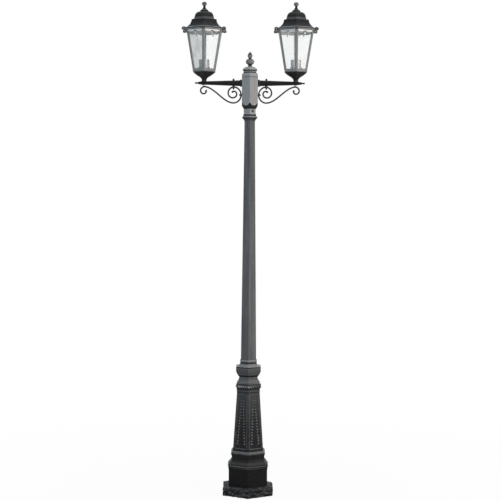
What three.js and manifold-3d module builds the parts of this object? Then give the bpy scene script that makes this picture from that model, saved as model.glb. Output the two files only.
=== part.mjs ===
// A garden and street lamp post: hexagonal cast sections stacked on a foot, a capital with two arms,
// and a six-sided lantern on each arm. Millimetres, +Z up, origin on the ground under the post's axis.
// A corner of every hexagon points to -Y, and the arms leave the flats that face -X and +X.
import * as THREE from 'three';
import { mergeVertices } from 'three/addons/utils/BufferGeometryUtils.js';
import Module from 'manifold-3d';

const wasm = await Module();
wasm.setup();

// Sizes that pieces share
const hex_sides = 6;
const round_sides = 16;
const small_sides = 10;
const bend_steps = 4;
const short_bend_steps = 3;
const seat_gap = 0.3; // between pieces that rest on or slide into each other
const cut_overrun = 5; // how far a cutting solid passes the face that it opens
const weld_distance = 0.0005;

// Foot casting: base plate, plinth and the flared moulding on it
const plate_across = 235;
const plate_height = 37;
const plate_edge = 1.5;
const plate_rise = 5;
const plinth_across = 180;
const plinth_height = 80;
const plinth_fillet = 3;
const band_height = 9.5;
const band_out = 1.5;
const groove_height = 1.5;
const groove_depth = 3;
const flare_across = 184;
const flare_lip = 4;
const flare_height = 24;
const flare_bulge_share = 0.04;
const foot_head_across = 156;
const foot_wall = 7;
const foot_floor = 12;
const foot_opening_across = 72;
const anchor_circle = 102;
const anchor_hole_radius = 6;
const anchor_count = 3;
const wrench_hole_radius = 13; // in the web, over each anchor hole
const web_thickness = 10;
const locating_lip = 8;

// Pedestal casting: cavetto, torus, tapering column with a sunk panel in each face, and a bead at its head
const cavetto_height = 24;
const cavetto_bulge_share = -0.1;
const torus_foot_across = 154;
const torus_head_across = 142.6;
const torus_height = 22;
const torus_bulge_share = 0.22;
const column_foot_across = 141.6;
const column_head_across = 106;
const column_height = 281;
const bead_across = 115;
const bead_height = 28;
const pedestal_wall = 6;
const panel_stile = 9;
const panel_rail = 11;
const panel_depth = 2.5;

// Collar casting: flared neck, bulb, cone and ring that hold the foot of the shaft
const collar_lip_across = 108;
const collar_lip_height = 6;
const collar_shoulder = 1.5;
const collar_neck_across = 86;
const collar_flare_height = 34;
const collar_flare_bulge_share = -0.1;
const bulb_across = 116;
const bulb_rise = 28;
const bulb_wall = 15;
const bulb_bulge_share = 0.06;
const bulb_height = 50;
const cone_foot_across = 89;
const cone_head_across = 75;
const cone_height = 16;
const cone_bulge_share = -0.08;
const ring_height = 13;
const ring_bulge_share = 0.3;
const collar_wall = 6;
const collar_ledge = 6;
const shaft_socket_depth = 32;

// Shaft casting: long tapering tube with a moulded crown and a round spigot on top
const shaft_foot_across = 71.5;
const shaft_head_across = 48.5;
const shaft_length = 1143;
const shaft_wall = 4.5;
const crown_across = 71;
const crown_cove = 20;
const crown_cove_bulge_share = -0.12;
const crown_lip = 3.5;
const crown_slope = 5;
const spigot_radius = 19;
const spigot_wall = 5;
const spigot_height = 40;

// Hollow tie tube that clamps the four castings, and its nuts
const tie_radius = 8;
const tie_bore = 5;
const nut_across = 24;
const nut_height = 10;
const tie_end = 6;

// Hub casting: neck with set screws, bowl, and hexagonal wiring box
const hub_across = 74.5;
const hub_wall = 5;
const neck_across = 54.5;
const neck_foot_across = 59.5;
const neck_foot_height = 14;
const neck_cove = 5;
const neck_height = 30;
const box_floor = 34; // floor of the wiring box above the bowl's lower edge
const bowl_foot_radius = 26.5;
const bowl_height = 39;
const bowl_bulge_share = 0.06;
const hub_height = 149.5;
const cable_way_radius = 15;
const set_screw_radius = 4;
const set_screw_proud = 1.2;
const set_screw_socket = 2;
const set_screw_count = 3;

// Hub lid and the finial on it
const lid_body_height = 12;
const lid_chamfer_height = 9;
const lid_chamfer_across = 61;
const lid_groove_across = 53;
const lid_groove_height = 3;
const lid_neck_height = 1.7;
const lid_plate_across = 57;
const lid_plate_height = 3.5;
const lid_bead_across = 64;
const lid_bead_height = 10.5;
const lid_bead_bulge_share = 0.3;
const lid_hood_height = 9.5;
const lid_hood_bulge_share = 0.1;
const lid_spigot_depth = 9;
const lid_wall = 5;
const finial_neck_radius = 9.4;
const finial_neck_height = 5;
const urn_radius = 20;
const urn_height = 36;
const urn_low_share = 0.56;
const urn_high_share = 0.82;
const bud_neck_radius = 6.2;
const bud_neck_height = 1.5;
const bud_radius = 11.6;
const bud_height = 32.5;
const bud_middle_share = 0.42;
const urn_bulge_share = 0.08;
const bud_bulge_share = 0.04;
const stud_radius = 3;

// Arms and their pointed tips
const arm_rise = 122.5; // arm axis above the bowl's lower edge
const lantern_reach = 213.6;
const arm_root_radius = 13.6;
const arm_end_radius = 7.6;
const arm_overhang = 14.95; // past the lantern's axis
const arm_bore = 4;
const arm_flange_radius = 16.8;
const arm_flange_length = 9;
const arm_thread_radius = 9;
const arm_thread_length = 12;
const tip_length = 28;
const tip_shoulder_share = 0.45;
const tip_radius_shares = [0.94, 0.55, 0.4];
const tip_stud_length = 8;
const saddle_radius = 12.5;
const saddle_foot_radius = 9;
const saddle_rise = 1;

// Scroll brackets and what fixes them
const bar_radius = 3.7;
const bar_sides = 6;
const scroll_drop = 91.7; // from the arm's axis down to the lowest point of the bar's middle
const bolt_reach = 76.5; // from the post's axis
const loop_steps = 11;
const run_steps = 9;
const run_handle_share = 0.35;
const inner_turn_radius = 30.5;
const inner_turn_end_radius = 9;
const inner_turn_share = 1.08;
const inner_turn_steps = 17;
const outer_turn_radius = 20;
const outer_turn_end_radius = 9.5;
const outer_turn_share = 0.76;
const outer_turn_steps = 11;
const turn_start_share = 0.25; // a turn starts at its top
const turn_fall_power = 0.87; // below one, a turn's radius falls faster at first
const scroll_bud_radius = 5.2;
const lug_radius = 6.2;
const lug_proud = 1.5;
const screw_radius = 2.5;
const screw_head_radius = 4.6;
const screw_head_height = 5;
const ball_radius = 4.8;
const ball_bulge_share = 0.25;
const spot_face = 1.2;
const small_nut_across = 9;
const small_nut_height = 4;

// Lantern foot: cup on the saddle, hollow stem bolt and its nut
const cup_neck_across = 22;
const cup_neck_height = 6;
const cup_waist_across = 46;
const cup_waist_height = 14.5;
const cup_waist_bulge_share = -0.08;
const cup_bowl_height = 20.5;
const cup_bowl_bulge_share = 0.03;
const cup_rim_across = 100;
const cup_rim_height = 2;
const cup_floor_height = 33;
const cup_wall = 4;
const stem_radius = 4;
const stem_bore = 2.5;
const stem_head_across = 14;
const stem_head_height = 4;
const stem_nut_across = 14;
const stem_nut_height = 3.4;

// Lantern cage, its openings and the panes
const cage_foot_across = 102;
const cage_head_across = 164.5;
const cage_height = 195;
const cage_wall = 4;
const ledge_height = 5;
const ledge_across = 86;
const foot_rail_height = 4;
const foot_rail_out = 1.2;
const mullion_width = 8.2;
const sill_height = 12;
const sill_lobe = 3;
const sill_peak = 7;
const valance_drop = 17; // from the head of the cage to the spring of the lobes
const valance_lobe = 5;
const valance_pendant = 10;
const pendant_width = 5;
const lobe_steps = 4;
const glass_thickness = 3;
const glass_head_gap = 3;

// Lamp holder in the lantern
const sleeve_radius = 24;
const sleeve_wall = 1.6;
const sleeve_height = 66;
const insulator_bore = 15;
const insulator_recess_radius = 10;
const insulator_recess = 8;
const insulator_floor = 14;
const holder_recess = 3;
const socket_wall = 1.2;
const socket_length = 32;
const contact_radius = 4;
const contact_height = 2.5;

// Lantern roof, its corner ears, thumb screws and knob
const eave_across = 179;
const eave_height = 9;
const eave_overlap = 7;
const eave_slope = 2;
const eave_slope_run = 4;
const skirt_height = 37;
const skirt_head_across = 115;
const skirt_bulge_share = -0.13;
const step_height = 3;
const drum_across = 98;
const drum_head_across = 88;
const drum_height = 12.5;
const drum_bulge_share = -0.05;
const dome_height = 25.5;
const dome_bulge_share = 0.16;
const dome_head_across = 45;
const roof_wall = 3.5;
const ear_width = 9;
// Corner ear: share of its reach past the eave's corner, share of the eave's height
const ear_reach = 13;
const ear_shares = [
  [-0.3, 0.15], [0.3, -0.05], [0.8, -0.05], [1, 0.4],
  [0.8, 1], [0.4, 1.3], [0, 1.3], [-0.3, 0.9],
];
const knob_foot_radius = 19;
const knob_foot_height = 8;
const knob_cone_radius = 15.5;
const knob_waist_radius = 5.4;
const knob_waist_height = 23;
const knob_neck_height = 4;
const knob_radius = 11.4;
const knob_height = 45;
const knob_cone_bulge_share = -0.1;
const knob_neck_bulge_share = 0.15;
const knob_top_bulge_share = 0.2;
const thumb_screw_radius = 2;
const thumb_head_radius = 4;
const thumb_head_height = 4;

// Finishes
const black_cast = { color: 0x36383a, roughness: 0.55, metalness: 0.5 };
const shaft_cast = { color: 0x5c6063, roughness: 0.55, metalness: 0.5 };
const rubbed_cast = { color: 0x84888a, roughness: 0.5, metalness: 0.6 };
const black_iron = { color: 0x242526, roughness: 0.5, metalness: 0.4 };
const zinc_steel = { color: 0x8c8f92, roughness: 0.35, metalness: 0.9 };
const brass = { color: 0xb08d4a, roughness: 0.35, metalness: 0.9 };
const satin_sleeve = { color: 0xc6c8c8, roughness: 0.3, metalness: 0.6 };
const white_insulator = { color: 0xe4e2dc, roughness: 0.4, metalness: 0 };
const clear_glass = { color: 0xe8f0ee, roughness: 0.05, metalness: 0, transparent: true, opacity: 0.3 };

// Angles of the six flats, from the one that faces +X
const flat_angles = Array.from({ length: hex_sides }, (_, i) => i * 2 * Math.PI / hex_sides);
const corner_stretch = 1 / Math.cos(Math.PI / hex_sides);
const side_share = Math.tan(Math.PI / hex_sides); // half a side over the half width across flats

const post = new THREE.Group();

// A named piece with a material of its own
function addPiece(name, geometry, finish, parent = post) {
  const mesh = new THREE.Mesh(geometry, new THREE.MeshStandardMaterial(finish));
  mesh.name = name;
  parent.add(mesh);
}

// A profile of [half width, height] points turned about the upright axis. It runs up the outside, and
// either starts and ends on the axis or closes on itself. A hexagon's half widths are to its flats.
function turn(profile, sides) {
  const outward = sides === hex_sides ? corner_stretch : 1;
  const points = profile.map(([half, height]) => new THREE.Vector2(half * outward, height));
  if (profile[0][0] > 0) points.push(points[0].clone());
  return new THREE.LatheGeometry(points, sides).rotateX(Math.PI / 2);
}

// Points of a bow between two profile points; a positive bulge share swells to the right of the way
function bow(from, to, bulge_share, steps = bend_steps) {
  const [dx, dy] = [to[0] - from[0], to[1] - from[1]];
  return Array.from({ length: steps + 1 }, (_, i) => {
    const t = i / steps;
    const out = 4 * bulge_share * t * (1 - t);
    return [from[0] + dx * t + dy * out, from[1] + dy * t - dx * out];
  });
}

// A closed geometry as a solid that can be joined and cut
function solid(geometry) {
  const bare = geometry.clone();
  bare.deleteAttribute('normal');
  bare.deleteAttribute('uv');
  const welded = mergeVertices(bare, weld_distance);
  const vertProperties = welded.attributes.position.array;
  const triVerts = new Uint32Array(welded.index.array);
  return new wasm.Manifold(new wasm.Mesh({ numProp: 3, vertProperties, triVerts }));
}

// The first geometry, joined with some others and cut by the rest
function built(geometry, joined, cutters) {
  return carved(solid(geometry), joined, cutters);
}

// The same from a solid
function carved(start, joined, cutters) {
  let shape = start;
  for (const extra of joined) shape = shape.add(solid(extra));
  for (const cutter of cutters) shape = shape.subtract(solid(cutter));
  const { vertProperties, triVerts } = shape.getMesh();
  const result = new THREE.BufferGeometry();
  result.setAttribute('position', new THREE.BufferAttribute(vertProperties, 3));
  result.setIndex(new THREE.BufferAttribute(triVerts, 1));
  return result;
}

// Upright round and hexagonal bars, and a tube
function rod(radius, low, high, sides = small_sides) {
  return turn([[0, low], [radius, low], [radius, high], [0, high]], sides);
}

function hexBar(across, low, high) {
  return rod(across / 2, low, high, hex_sides);
}

function tube(bore, radius, low, high, sides = small_sides) {
  return turn([[bore, low], [radius, low], [radius, high], [bore, high]], sides);
}

// Upright work laid down, so that its top points away from the post; side is -1 or 1
function layOut(geometry, side, height = 0) {
  return geometry.rotateY(side * Math.PI / 2).translate(0, 0, height);
}

// Heights of the seats, from the ground up
const plinth_z = plate_height + plate_rise;
const band_z = plinth_z + plinth_height;
const flare_z = band_z + band_height + groove_height;
const foot_z = flare_z + flare_height;
const pedestal_z = foot_z + seat_gap;
const torus_z = pedestal_z + cavetto_height;
const column_z = torus_z + torus_height;
const bead_z = column_z + column_height;
const pedestal_top_z = bead_z + bead_height;
const collar_z = pedestal_top_z + seat_gap;
const bulb_z = collar_z + collar_lip_height + collar_flare_height;
const cone_z = bulb_z + bulb_height;
const ring_z = cone_z + cone_height;
const collar_top_z = ring_z + ring_height;
const shaft_z = collar_top_z - shaft_socket_depth;
const crown_z = shaft_z + shaft_length;
const spigot_z = crown_z + crown_cove + crown_lip + crown_slope;
const spigot_top_z = spigot_z + spigot_height;
const hub_z = spigot_z + seat_gap;
const bowl_z = hub_z + neck_height;
const hub_top_z = bowl_z + hub_height;
const arm_z = bowl_z + arm_rise;
const lid_z = hub_top_z + seat_gap;
const foot_web_z = foot_z - web_thickness;
const spigot_web_z = spigot_top_z - web_thickness;
const column_bore = column_head_across / 2 - pedestal_wall;

// Foot casting: a shell with a floor that is anchored to the ground and a web that carries the tie tube
function footCasting() {
  const plate = plate_across / 2;
  const plinth = plinth_across / 2;
  const flare = flare_across / 2;
  const head = foot_head_across / 2;
  const inside = plinth - foot_wall;
  const opening = foot_opening_across / 2;
  const lip = column_foot_across / 2 - pedestal_wall - seat_gap;
  const lip_z = foot_z + locating_lip;
  const shell = turn([
    [0, foot_web_z],
    [head - 2 * foot_wall, foot_web_z],
    [inside, band_z],
    [inside, foot_floor],
    [opening, foot_floor],
    [opening, 0],
    [plate, 0],
    [plate - plate_edge, plate_height - plate_edge],
    [plate - 2 * plate_edge, plate_height],
    [plinth + plinth_fillet, plinth_z],
    [plinth, plinth_z + plinth_fillet],
    [plinth, band_z],
    [plinth + band_out, band_z],
    [plinth + band_out, band_z + band_height],
    [plinth - groove_depth, band_z + band_height],
    [plinth - groove_depth, flare_z],
    [flare, flare_z],
    ...bow([flare, flare_z + flare_lip], [head, foot_z], flare_bulge_share),
    [lip, foot_z],
    [lip, lip_z],
    [lip - foot_wall, lip_z],
    [lip - foot_wall, foot_z],
    [0, foot_z],
  ], hex_sides);
  const cutters = [rod(tie_radius + seat_gap, foot_web_z - cut_overrun, foot_z + cut_overrun)];
  for (let i = 0; i < anchor_count; i++) {
    const angle = (2 * i + 1) * Math.PI / anchor_count - Math.PI / hex_sides;
    const holes = [
      rod(anchor_hole_radius, -cut_overrun, foot_floor + cut_overrun),
      rod(wrench_hole_radius, foot_web_z - cut_overrun, foot_z + cut_overrun, round_sides),
    ];
    const [x, y] = [Math.cos(angle), Math.sin(angle)].map((share) => share * anchor_circle / 2);
    for (const hole of holes) cutters.push(hole.translate(x, y, 0));
  }
  return built(shell, [], cutters);
}

// A prism on each flat of a tapering hexagon. The outline is drawn on the flat, upright from its foot,
// and the prism lies between two depths behind the flat; a negative depth stands out of it.
function onFlat(outline, foot_across, head_across, height, low_z, near, far, angle) {
  const lean = Math.atan2((head_across - foot_across) / 2, height);
  const geometry = new THREE.ExtrudeGeometry(new THREE.Shape(outline), {
    depth: far - near, bevelEnabled: false,
  });
  geometry.translate(0, 0, -far);
  const out = new THREE.Vector3(Math.cos(angle), Math.sin(angle), 0);
  const across = new THREE.Vector3(-Math.sin(angle), Math.cos(angle), 0);
  const up = new THREE.Vector3(0, 0, Math.cos(lean)).addScaledVector(out, Math.sin(lean));
  const place = new THREE.Matrix4().makeBasis(across, up, new THREE.Vector3().crossVectors(across, up));
  place.setPosition(out.x * foot_across / 2, out.y * foot_across / 2, low_z);
  return geometry.applyMatrix4(place);
}

// Pedestal casting
function pedestalCasting() {
  const foot = foot_head_across / 2;
  const torus_foot = torus_foot_across / 2;
  const column_foot = column_foot_across / 2;
  const column_head = column_head_across / 2;
  const shell = turn([
    [foot, pedestal_z],
    ...bow([foot, pedestal_z + band_out], [torus_foot, torus_z], cavetto_bulge_share),
    ...bow([torus_foot, torus_z], [torus_head_across / 2, column_z], torus_bulge_share),
    [column_foot, column_z],
    ...bow([column_head, bead_z], [column_head, pedestal_top_z], (bead_across / 2 - column_head) / bead_height),
    [column_bore, pedestal_top_z],
    [column_bore, bead_z],
    [column_foot - pedestal_wall, column_z],
    [column_foot - pedestal_wall, pedestal_z],
  ], hex_sides);
  const flat_length = Math.hypot(column_height, column_foot - column_head);
  const half_foot = column_foot * side_share - panel_stile;
  const half_head = column_head * side_share - panel_stile;
  const share = panel_rail / flat_length;
  const low_half = half_foot + (half_head - half_foot) * share;
  const high_half = half_head + (half_foot - half_head) * share;
  const outline = [
    [-low_half, panel_rail], [low_half, panel_rail],
    [high_half, flat_length - panel_rail], [-high_half, flat_length - panel_rail],
  ].map(([x, y]) => new THREE.Vector2(x, y));
  const panels = flat_angles.map((angle) => onFlat(outline, column_foot_across, column_head_across,
    column_height, column_z, -cut_overrun, panel_depth, angle));
  return built(shell, [], panels);
}

// Collar casting
function collarCasting() {
  const lip = collar_lip_across / 2;
  const neck = collar_neck_across / 2;
  const bulb = bulb_across / 2;
  const socket = shaft_foot_across / 2 + seat_gap;
  const ring = cone_head_across / 2;
  const spigot = column_bore - seat_gap;
  const lip_top = collar_z + collar_lip_height;
  return turn([
    [neck - collar_wall, collar_z - locating_lip],
    [spigot, collar_z - locating_lip],
    [spigot, collar_z],
    [lip, collar_z],
    [lip, lip_top],
    ...bow([lip - collar_shoulder, lip_top], [neck, bulb_z], collar_flare_bulge_share),
    ...bow([neck, bulb_z], [bulb, bulb_z + bulb_rise], bulb_bulge_share),
    [bulb, bulb_z + bulb_rise + bulb_wall],
    [bulb - collar_shoulder, cone_z],
    ...bow([cone_foot_across / 2, cone_z], [ring, ring_z], cone_bulge_share),
    ...bow([ring, ring_z], [ring, collar_top_z], ring_bulge_share / 2),
    [socket, collar_top_z],
    [socket, shaft_z - seat_gap],
    [socket - collar_ledge, shaft_z - seat_gap],
    [socket - collar_ledge, shaft_z - collar_ledge],
    [bulb - 2 * collar_wall, bulb_z + bulb_rise],
    [neck - collar_wall, bulb_z],
  ], hex_sides);
}

// Shaft casting: the tapering tube and its crown, with a round spigot that is open to the tube below
function shaftCasting() {
  const foot = shaft_foot_across / 2;
  const head = shaft_head_across / 2;
  const crown = crown_across / 2;
  const lip_z = crown_z + crown_cove;
  const bore = spigot_radius - spigot_wall;
  const tapered = turn([
    [foot - shaft_wall, shaft_z],
    [foot, shaft_z],
    [head, crown_z],
    ...bow([head, crown_z], [crown, lip_z], crown_cove_bulge_share),
    [crown, lip_z + crown_lip],
    [neck_foot_across / 2, spigot_z],
    [bore, spigot_z],
    [bore, crown_z],
    [head - shaft_wall, crown_z - crown_cove],
  ], hex_sides);
  const spigot = turn([
    [0, spigot_web_z],
    [bore, spigot_web_z],
    [bore, crown_z],
    [spigot_radius, crown_z],
    [spigot_radius, spigot_top_z],
    [0, spigot_top_z],
  ], round_sides);
  const tie_hole = rod(tie_radius + seat_gap, spigot_web_z - cut_overrun, spigot_top_z + cut_overrun);
  return built(tapered, [spigot], [tie_hole]);
}

// Tie tube through the webs, with a nut under the lower web and one on the upper
function tieTube() {
  return tube(tie_bore, tie_radius, foot_web_z - nut_height - tie_end, spigot_top_z + nut_height + tie_end);
}

function tieNut(low) {
  return built(hexBar(nut_across, low, low + nut_height), [],
    [rod(tie_radius + seat_gap, low - cut_overrun, low + nut_height + cut_overrun)]);
}

// Hub casting: the prism's lower end is cut to a round bowl, which leaves a tongue on each flat
const hub_flat = hub_across / 2;
const arm_start = hub_flat + seat_gap;
const arm_end = lantern_reach + arm_overhang;
const arm_length = arm_end - arm_start;
const hub_bore = hub_flat - hub_wall;
const bar_top_z = arm_z - armRadius(bolt_reach) - lug_proud - bar_radius;
const wall_screw_z = (arm_z - scroll_drop + bar_top_z) / 2;
const set_screw_z = hub_z + neck_foot_height + (neck_height - neck_foot_height) / 2;

function hubCasting() {
  const corner = hub_flat * corner_stretch;
  const prism = solid(hexBar(hub_across, bowl_z, hub_top_z));
  const bowl = solid(turn([
    [0, bowl_z],
    ...bow([bowl_foot_radius, bowl_z], [corner, bowl_z + bowl_height], bowl_bulge_share),
    [corner + cut_overrun, bowl_z + bowl_height],
    [corner + cut_overrun, hub_top_z + cut_overrun],
    [0, hub_top_z + cut_overrun],
  ], 2 * round_sides));
  const body = prism.intersect(bowl);
  const neck = turn([
    [0, hub_z],
    [neck_foot_across / 2, hub_z],
    [neck_foot_across / 2, hub_z + neck_foot_height - neck_cove],
    [neck_across / 2, hub_z + neck_foot_height],
    [neck_across / 2, bowl_z + seat_gap],
    [0, bowl_z + seat_gap],
  ], hex_sides);
  const socket_top = spigot_top_z + seat_gap;
  const cutters = [
    rod(spigot_radius + seat_gap, hub_z - cut_overrun, socket_top, round_sides),
    rod(cable_way_radius, hub_z, bowl_z + box_floor + seat_gap, round_sides),
    hexBar(2 * hub_bore, bowl_z + box_floor, hub_top_z + cut_overrun),
  ];
  for (const side of [-1, 1]) {
    const [inside, outside] = [hub_bore - cut_overrun, hub_flat + cut_overrun];
    cutters.push(layOut(rod(arm_thread_radius + seat_gap, inside, outside, round_sides), side, arm_z));
    cutters.push(layOut(rod(screw_radius + seat_gap, inside, outside), side, wall_screw_z));
  }
  for (let i = 0; i < set_screw_count; i++) {
    const hole = rod(set_screw_radius + seat_gap, spigot_radius - cut_overrun, hub_flat);
    cutters.push(aimSetScrew(hole, i));
  }
  return carved(body, [neck], cutters);
}

// Set screws stand on every other flat of the neck, the first on the one that faces front right
function aimSetScrew(geometry, i) {
  return layOut(geometry, 1).rotateZ((2 * i - 1) * Math.PI / set_screw_count).translate(0, 0, set_screw_z);
}

function setScrew(i) {
  const head = neck_across / 2 + set_screw_proud;
  const screw = turn([
    [0, spigot_radius + seat_gap],
    [set_screw_radius, spigot_radius + seat_gap],
    [set_screw_radius, head],
    [set_screw_socket, head],
    [set_screw_socket, head - set_screw_radius],
    [0, head - set_screw_radius],
  ], small_sides);
  return aimSetScrew(screw, i);
}

// Hub lid: a stepped hood with a spigot that drops into the wiring box
const lid_chamfer_z = lid_z + lid_body_height;
const lid_plate_z = lid_chamfer_z + lid_chamfer_height + lid_groove_height;
const lid_bead_z = lid_plate_z + lid_plate_height + lid_neck_height;
const lid_hood_z = lid_bead_z + lid_bead_height;
const finial_z = lid_hood_z + lid_hood_height + seat_gap;

function hubLid() {
  const spigot = hub_bore - seat_gap;
  const groove = lid_groove_across / 2;
  const plate = lid_plate_across / 2;
  const bead = lid_bead_across / 2 - lid_bead_height * lid_bead_bulge_share / 2;
  const lid = turn([
    [0, lid_chamfer_z],
    [spigot - lid_wall, lid_z],
    [spigot - lid_wall, lid_z - lid_spigot_depth],
    [spigot, lid_z - lid_spigot_depth],
    [spigot, lid_z],
    [hub_flat, lid_z],
    [hub_flat, lid_chamfer_z],
    [lid_chamfer_across / 2, lid_chamfer_z + lid_chamfer_height],
    [groove, lid_chamfer_z + lid_chamfer_height],
    [groove, lid_plate_z],
    [plate, lid_plate_z],
    [plate, lid_plate_z + lid_plate_height],
    [groove, lid_plate_z + lid_plate_height],
    [groove, lid_bead_z],
    ...bow([bead, lid_bead_z], [bead, lid_hood_z], lid_bead_bulge_share / 2),
    ...bow([bead, lid_hood_z], [finial_neck_radius, finial_z - seat_gap], lid_hood_bulge_share).slice(1),
    [0, finial_z - seat_gap],
  ], hex_sides);
  return built(lid, [], [rod(stud_radius + seat_gap, lid_z - cut_overrun, finial_z + cut_overrun)]);
}

// Post finial: an urn with a bud on it, turned in one with its stud
function postFinial() {
  const neck_z = finial_z + finial_neck_height;
  const urn_low_z = finial_z + urn_height * urn_low_share;
  const urn_high_z = finial_z + urn_height * urn_high_share;
  const urn_top_z = finial_z + urn_height;
  const bud_z = urn_top_z + bud_neck_height;
  const bud_middle_z = bud_z + bud_height * bud_middle_share;
  return turn([
    [0, lid_chamfer_z + seat_gap],
    [stud_radius, lid_chamfer_z + seat_gap],
    [stud_radius, finial_z],
    [finial_neck_radius, finial_z],
    ...bow([finial_neck_radius, neck_z], [urn_radius, urn_low_z], urn_bulge_share),
    [urn_radius, urn_high_z],
    [bud_neck_radius, urn_top_z],
    ...bow([bud_neck_radius, bud_z], [bud_radius, bud_middle_z], urn_bulge_share, short_bend_steps),
    ...bow([bud_radius, bud_middle_z + bud_neck_height], [0, bud_z + bud_height], bud_bulge_share),
  ], round_sides);
}

// Work on the right arm, turned half round for the left one
function onSide(geometry, side) {
  return side > 0 ? geometry : geometry.rotateZ(Math.PI);
}

// Radius of the arm's taper at a distance from the post's axis
function armRadius(reach) {
  const share = (reach - hub_flat - arm_flange_length) / (arm_length - arm_flange_length);
  return arm_root_radius + (arm_end_radius - arm_root_radius) * share;
}

const saddle_low_z = arm_z - armRadius(lantern_reach) - saddle_rise;
const saddle_top_z = arm_z + armRadius(lantern_reach) + saddle_rise;
const bolt_seat_z = arm_z + armRadius(bolt_reach) - spot_face;

// Arm: a tapering bar with a flange and a threaded root, bored for the cable, with a saddle for the lantern
function arm() {
  const bar = layOut(turn([
    [arm_bore, hub_flat - arm_thread_length],
    [arm_thread_radius, hub_flat - arm_thread_length],
    [arm_thread_radius, arm_start],
    [arm_flange_radius, arm_start],
    [arm_flange_radius, arm_start + arm_flange_length - saddle_rise],
    [arm_root_radius, arm_start + arm_flange_length],
    [arm_end_radius, arm_end],
    [arm_bore, arm_end],
  ], round_sides), 1, arm_z);
  const saddle = turn([
    [0, saddle_low_z],
    [saddle_foot_radius, saddle_low_z],
    [saddle_radius, saddle_top_z - saddle_rise],
    [saddle_radius, saddle_top_z],
    [0, saddle_top_z],
  ], round_sides).translate(lantern_reach, 0, 0);
  const bore = layOut(rod(arm_bore, arm_start, arm_end), 1, arm_z);
  const stem_hole = rod(stem_radius + seat_gap, saddle_low_z - cut_overrun, saddle_top_z + cut_overrun);
  const bolt_hole = rod(screw_radius + seat_gap, arm_z - 2 * arm_root_radius, bolt_seat_z + seat_gap);
  const face = rod(ball_radius + seat_gap, bolt_seat_z, arm_z + 2 * arm_root_radius);
  return built(bar, [saddle], [
    bore,
    stem_hole.translate(lantern_reach, 0, 0),
    bolt_hole.translate(bolt_reach, 0, 0),
    face.translate(bolt_reach, 0, 0),
  ]);
}

// Pointed tip with its stud in the arm's bore
function armTip() {
  const start = arm_end + seat_gap;
  const radii = tip_radius_shares.map((share) => share * arm_end_radius);
  const shoulder = start + tip_length * tip_shoulder_share;
  return layOut(turn([
    [0, start - tip_stud_length],
    [arm_bore - seat_gap, start - tip_stud_length],
    [arm_bore - seat_gap, start],
    [radii[0], start],
    [radii[1], shoulder],
    [radii[2], (shoulder + start + tip_length) / 2],
    [0, start + tip_length],
  ], round_sides), 1, arm_z);
}

// Points of a turn about a middle: start and whole turn in shares of a circle, with a falling radius.
// Points are [distance from the post's axis, height].
function turnPoints(middle, start_share, turn_share, radius_from, radius_to, steps) {
  return Array.from({ length: steps + 1 }, (_, i) => {
    const t = i / steps;
    const angle = 2 * Math.PI * (start_share + turn_share * t);
    const radius = radius_from + (radius_to - radius_from) * t ** turn_fall_power;
    return [middle[0] + radius * Math.cos(angle), middle[1] + radius * Math.sin(angle)];
  });
}

// A bar of even thickness along points in the plane of the arms
function bentBar(points) {
  const position = [];
  const index = [];
  points.forEach(([x, z], i) => {
    const before = points[Math.max(i - 1, 0)];
    const after = points[Math.min(i + 1, points.length - 1)];
    const length = Math.hypot(after[0] - before[0], after[1] - before[1]);
    const [nx, nz] = [(after[1] - before[1]) / length, (before[0] - after[0]) / length];
    for (let k = 0; k < bar_sides; k++) {
      const angle = 2 * Math.PI * k / bar_sides;
      const [out, aside] = [bar_radius * Math.cos(angle), bar_radius * Math.sin(angle)];
      position.push(x + nx * out, aside, z + nz * out);
    }
  });
  const rings = points.length;
  for (let i = 0; i < rings - 1; i++) {
    for (let k = 0; k < bar_sides; k++) {
      const [a, b] = [i * bar_sides + k, i * bar_sides + (k + 1) % bar_sides];
      index.push(a, b, b + bar_sides, a, b + bar_sides, a + bar_sides);
    }
  }
  const last = (rings - 1) * bar_sides;
  for (let k = 1; k < bar_sides - 1; k++) {
    index.push(0, k + 1, k, last, last + k, last + k + 1);
  }
  const geometry = new THREE.BufferGeometry();
  geometry.setAttribute('position', new THREE.Float32BufferAttribute(position, 3));
  geometry.setIndex(index);
  return geometry;
}

// Scroll bracket: inner volute, loop beside the hub, run, and outer volute, in one bar with two lugs
const loop_left = hub_flat + seat_gap + bar_radius;
const bar_low_z = arm_z - scroll_drop;
const lug_low_z = bar_top_z - bar_radius - lug_proud;
const outer_top_z = saddle_low_z - seat_gap - stem_nut_height - seat_gap - bar_radius;

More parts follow.
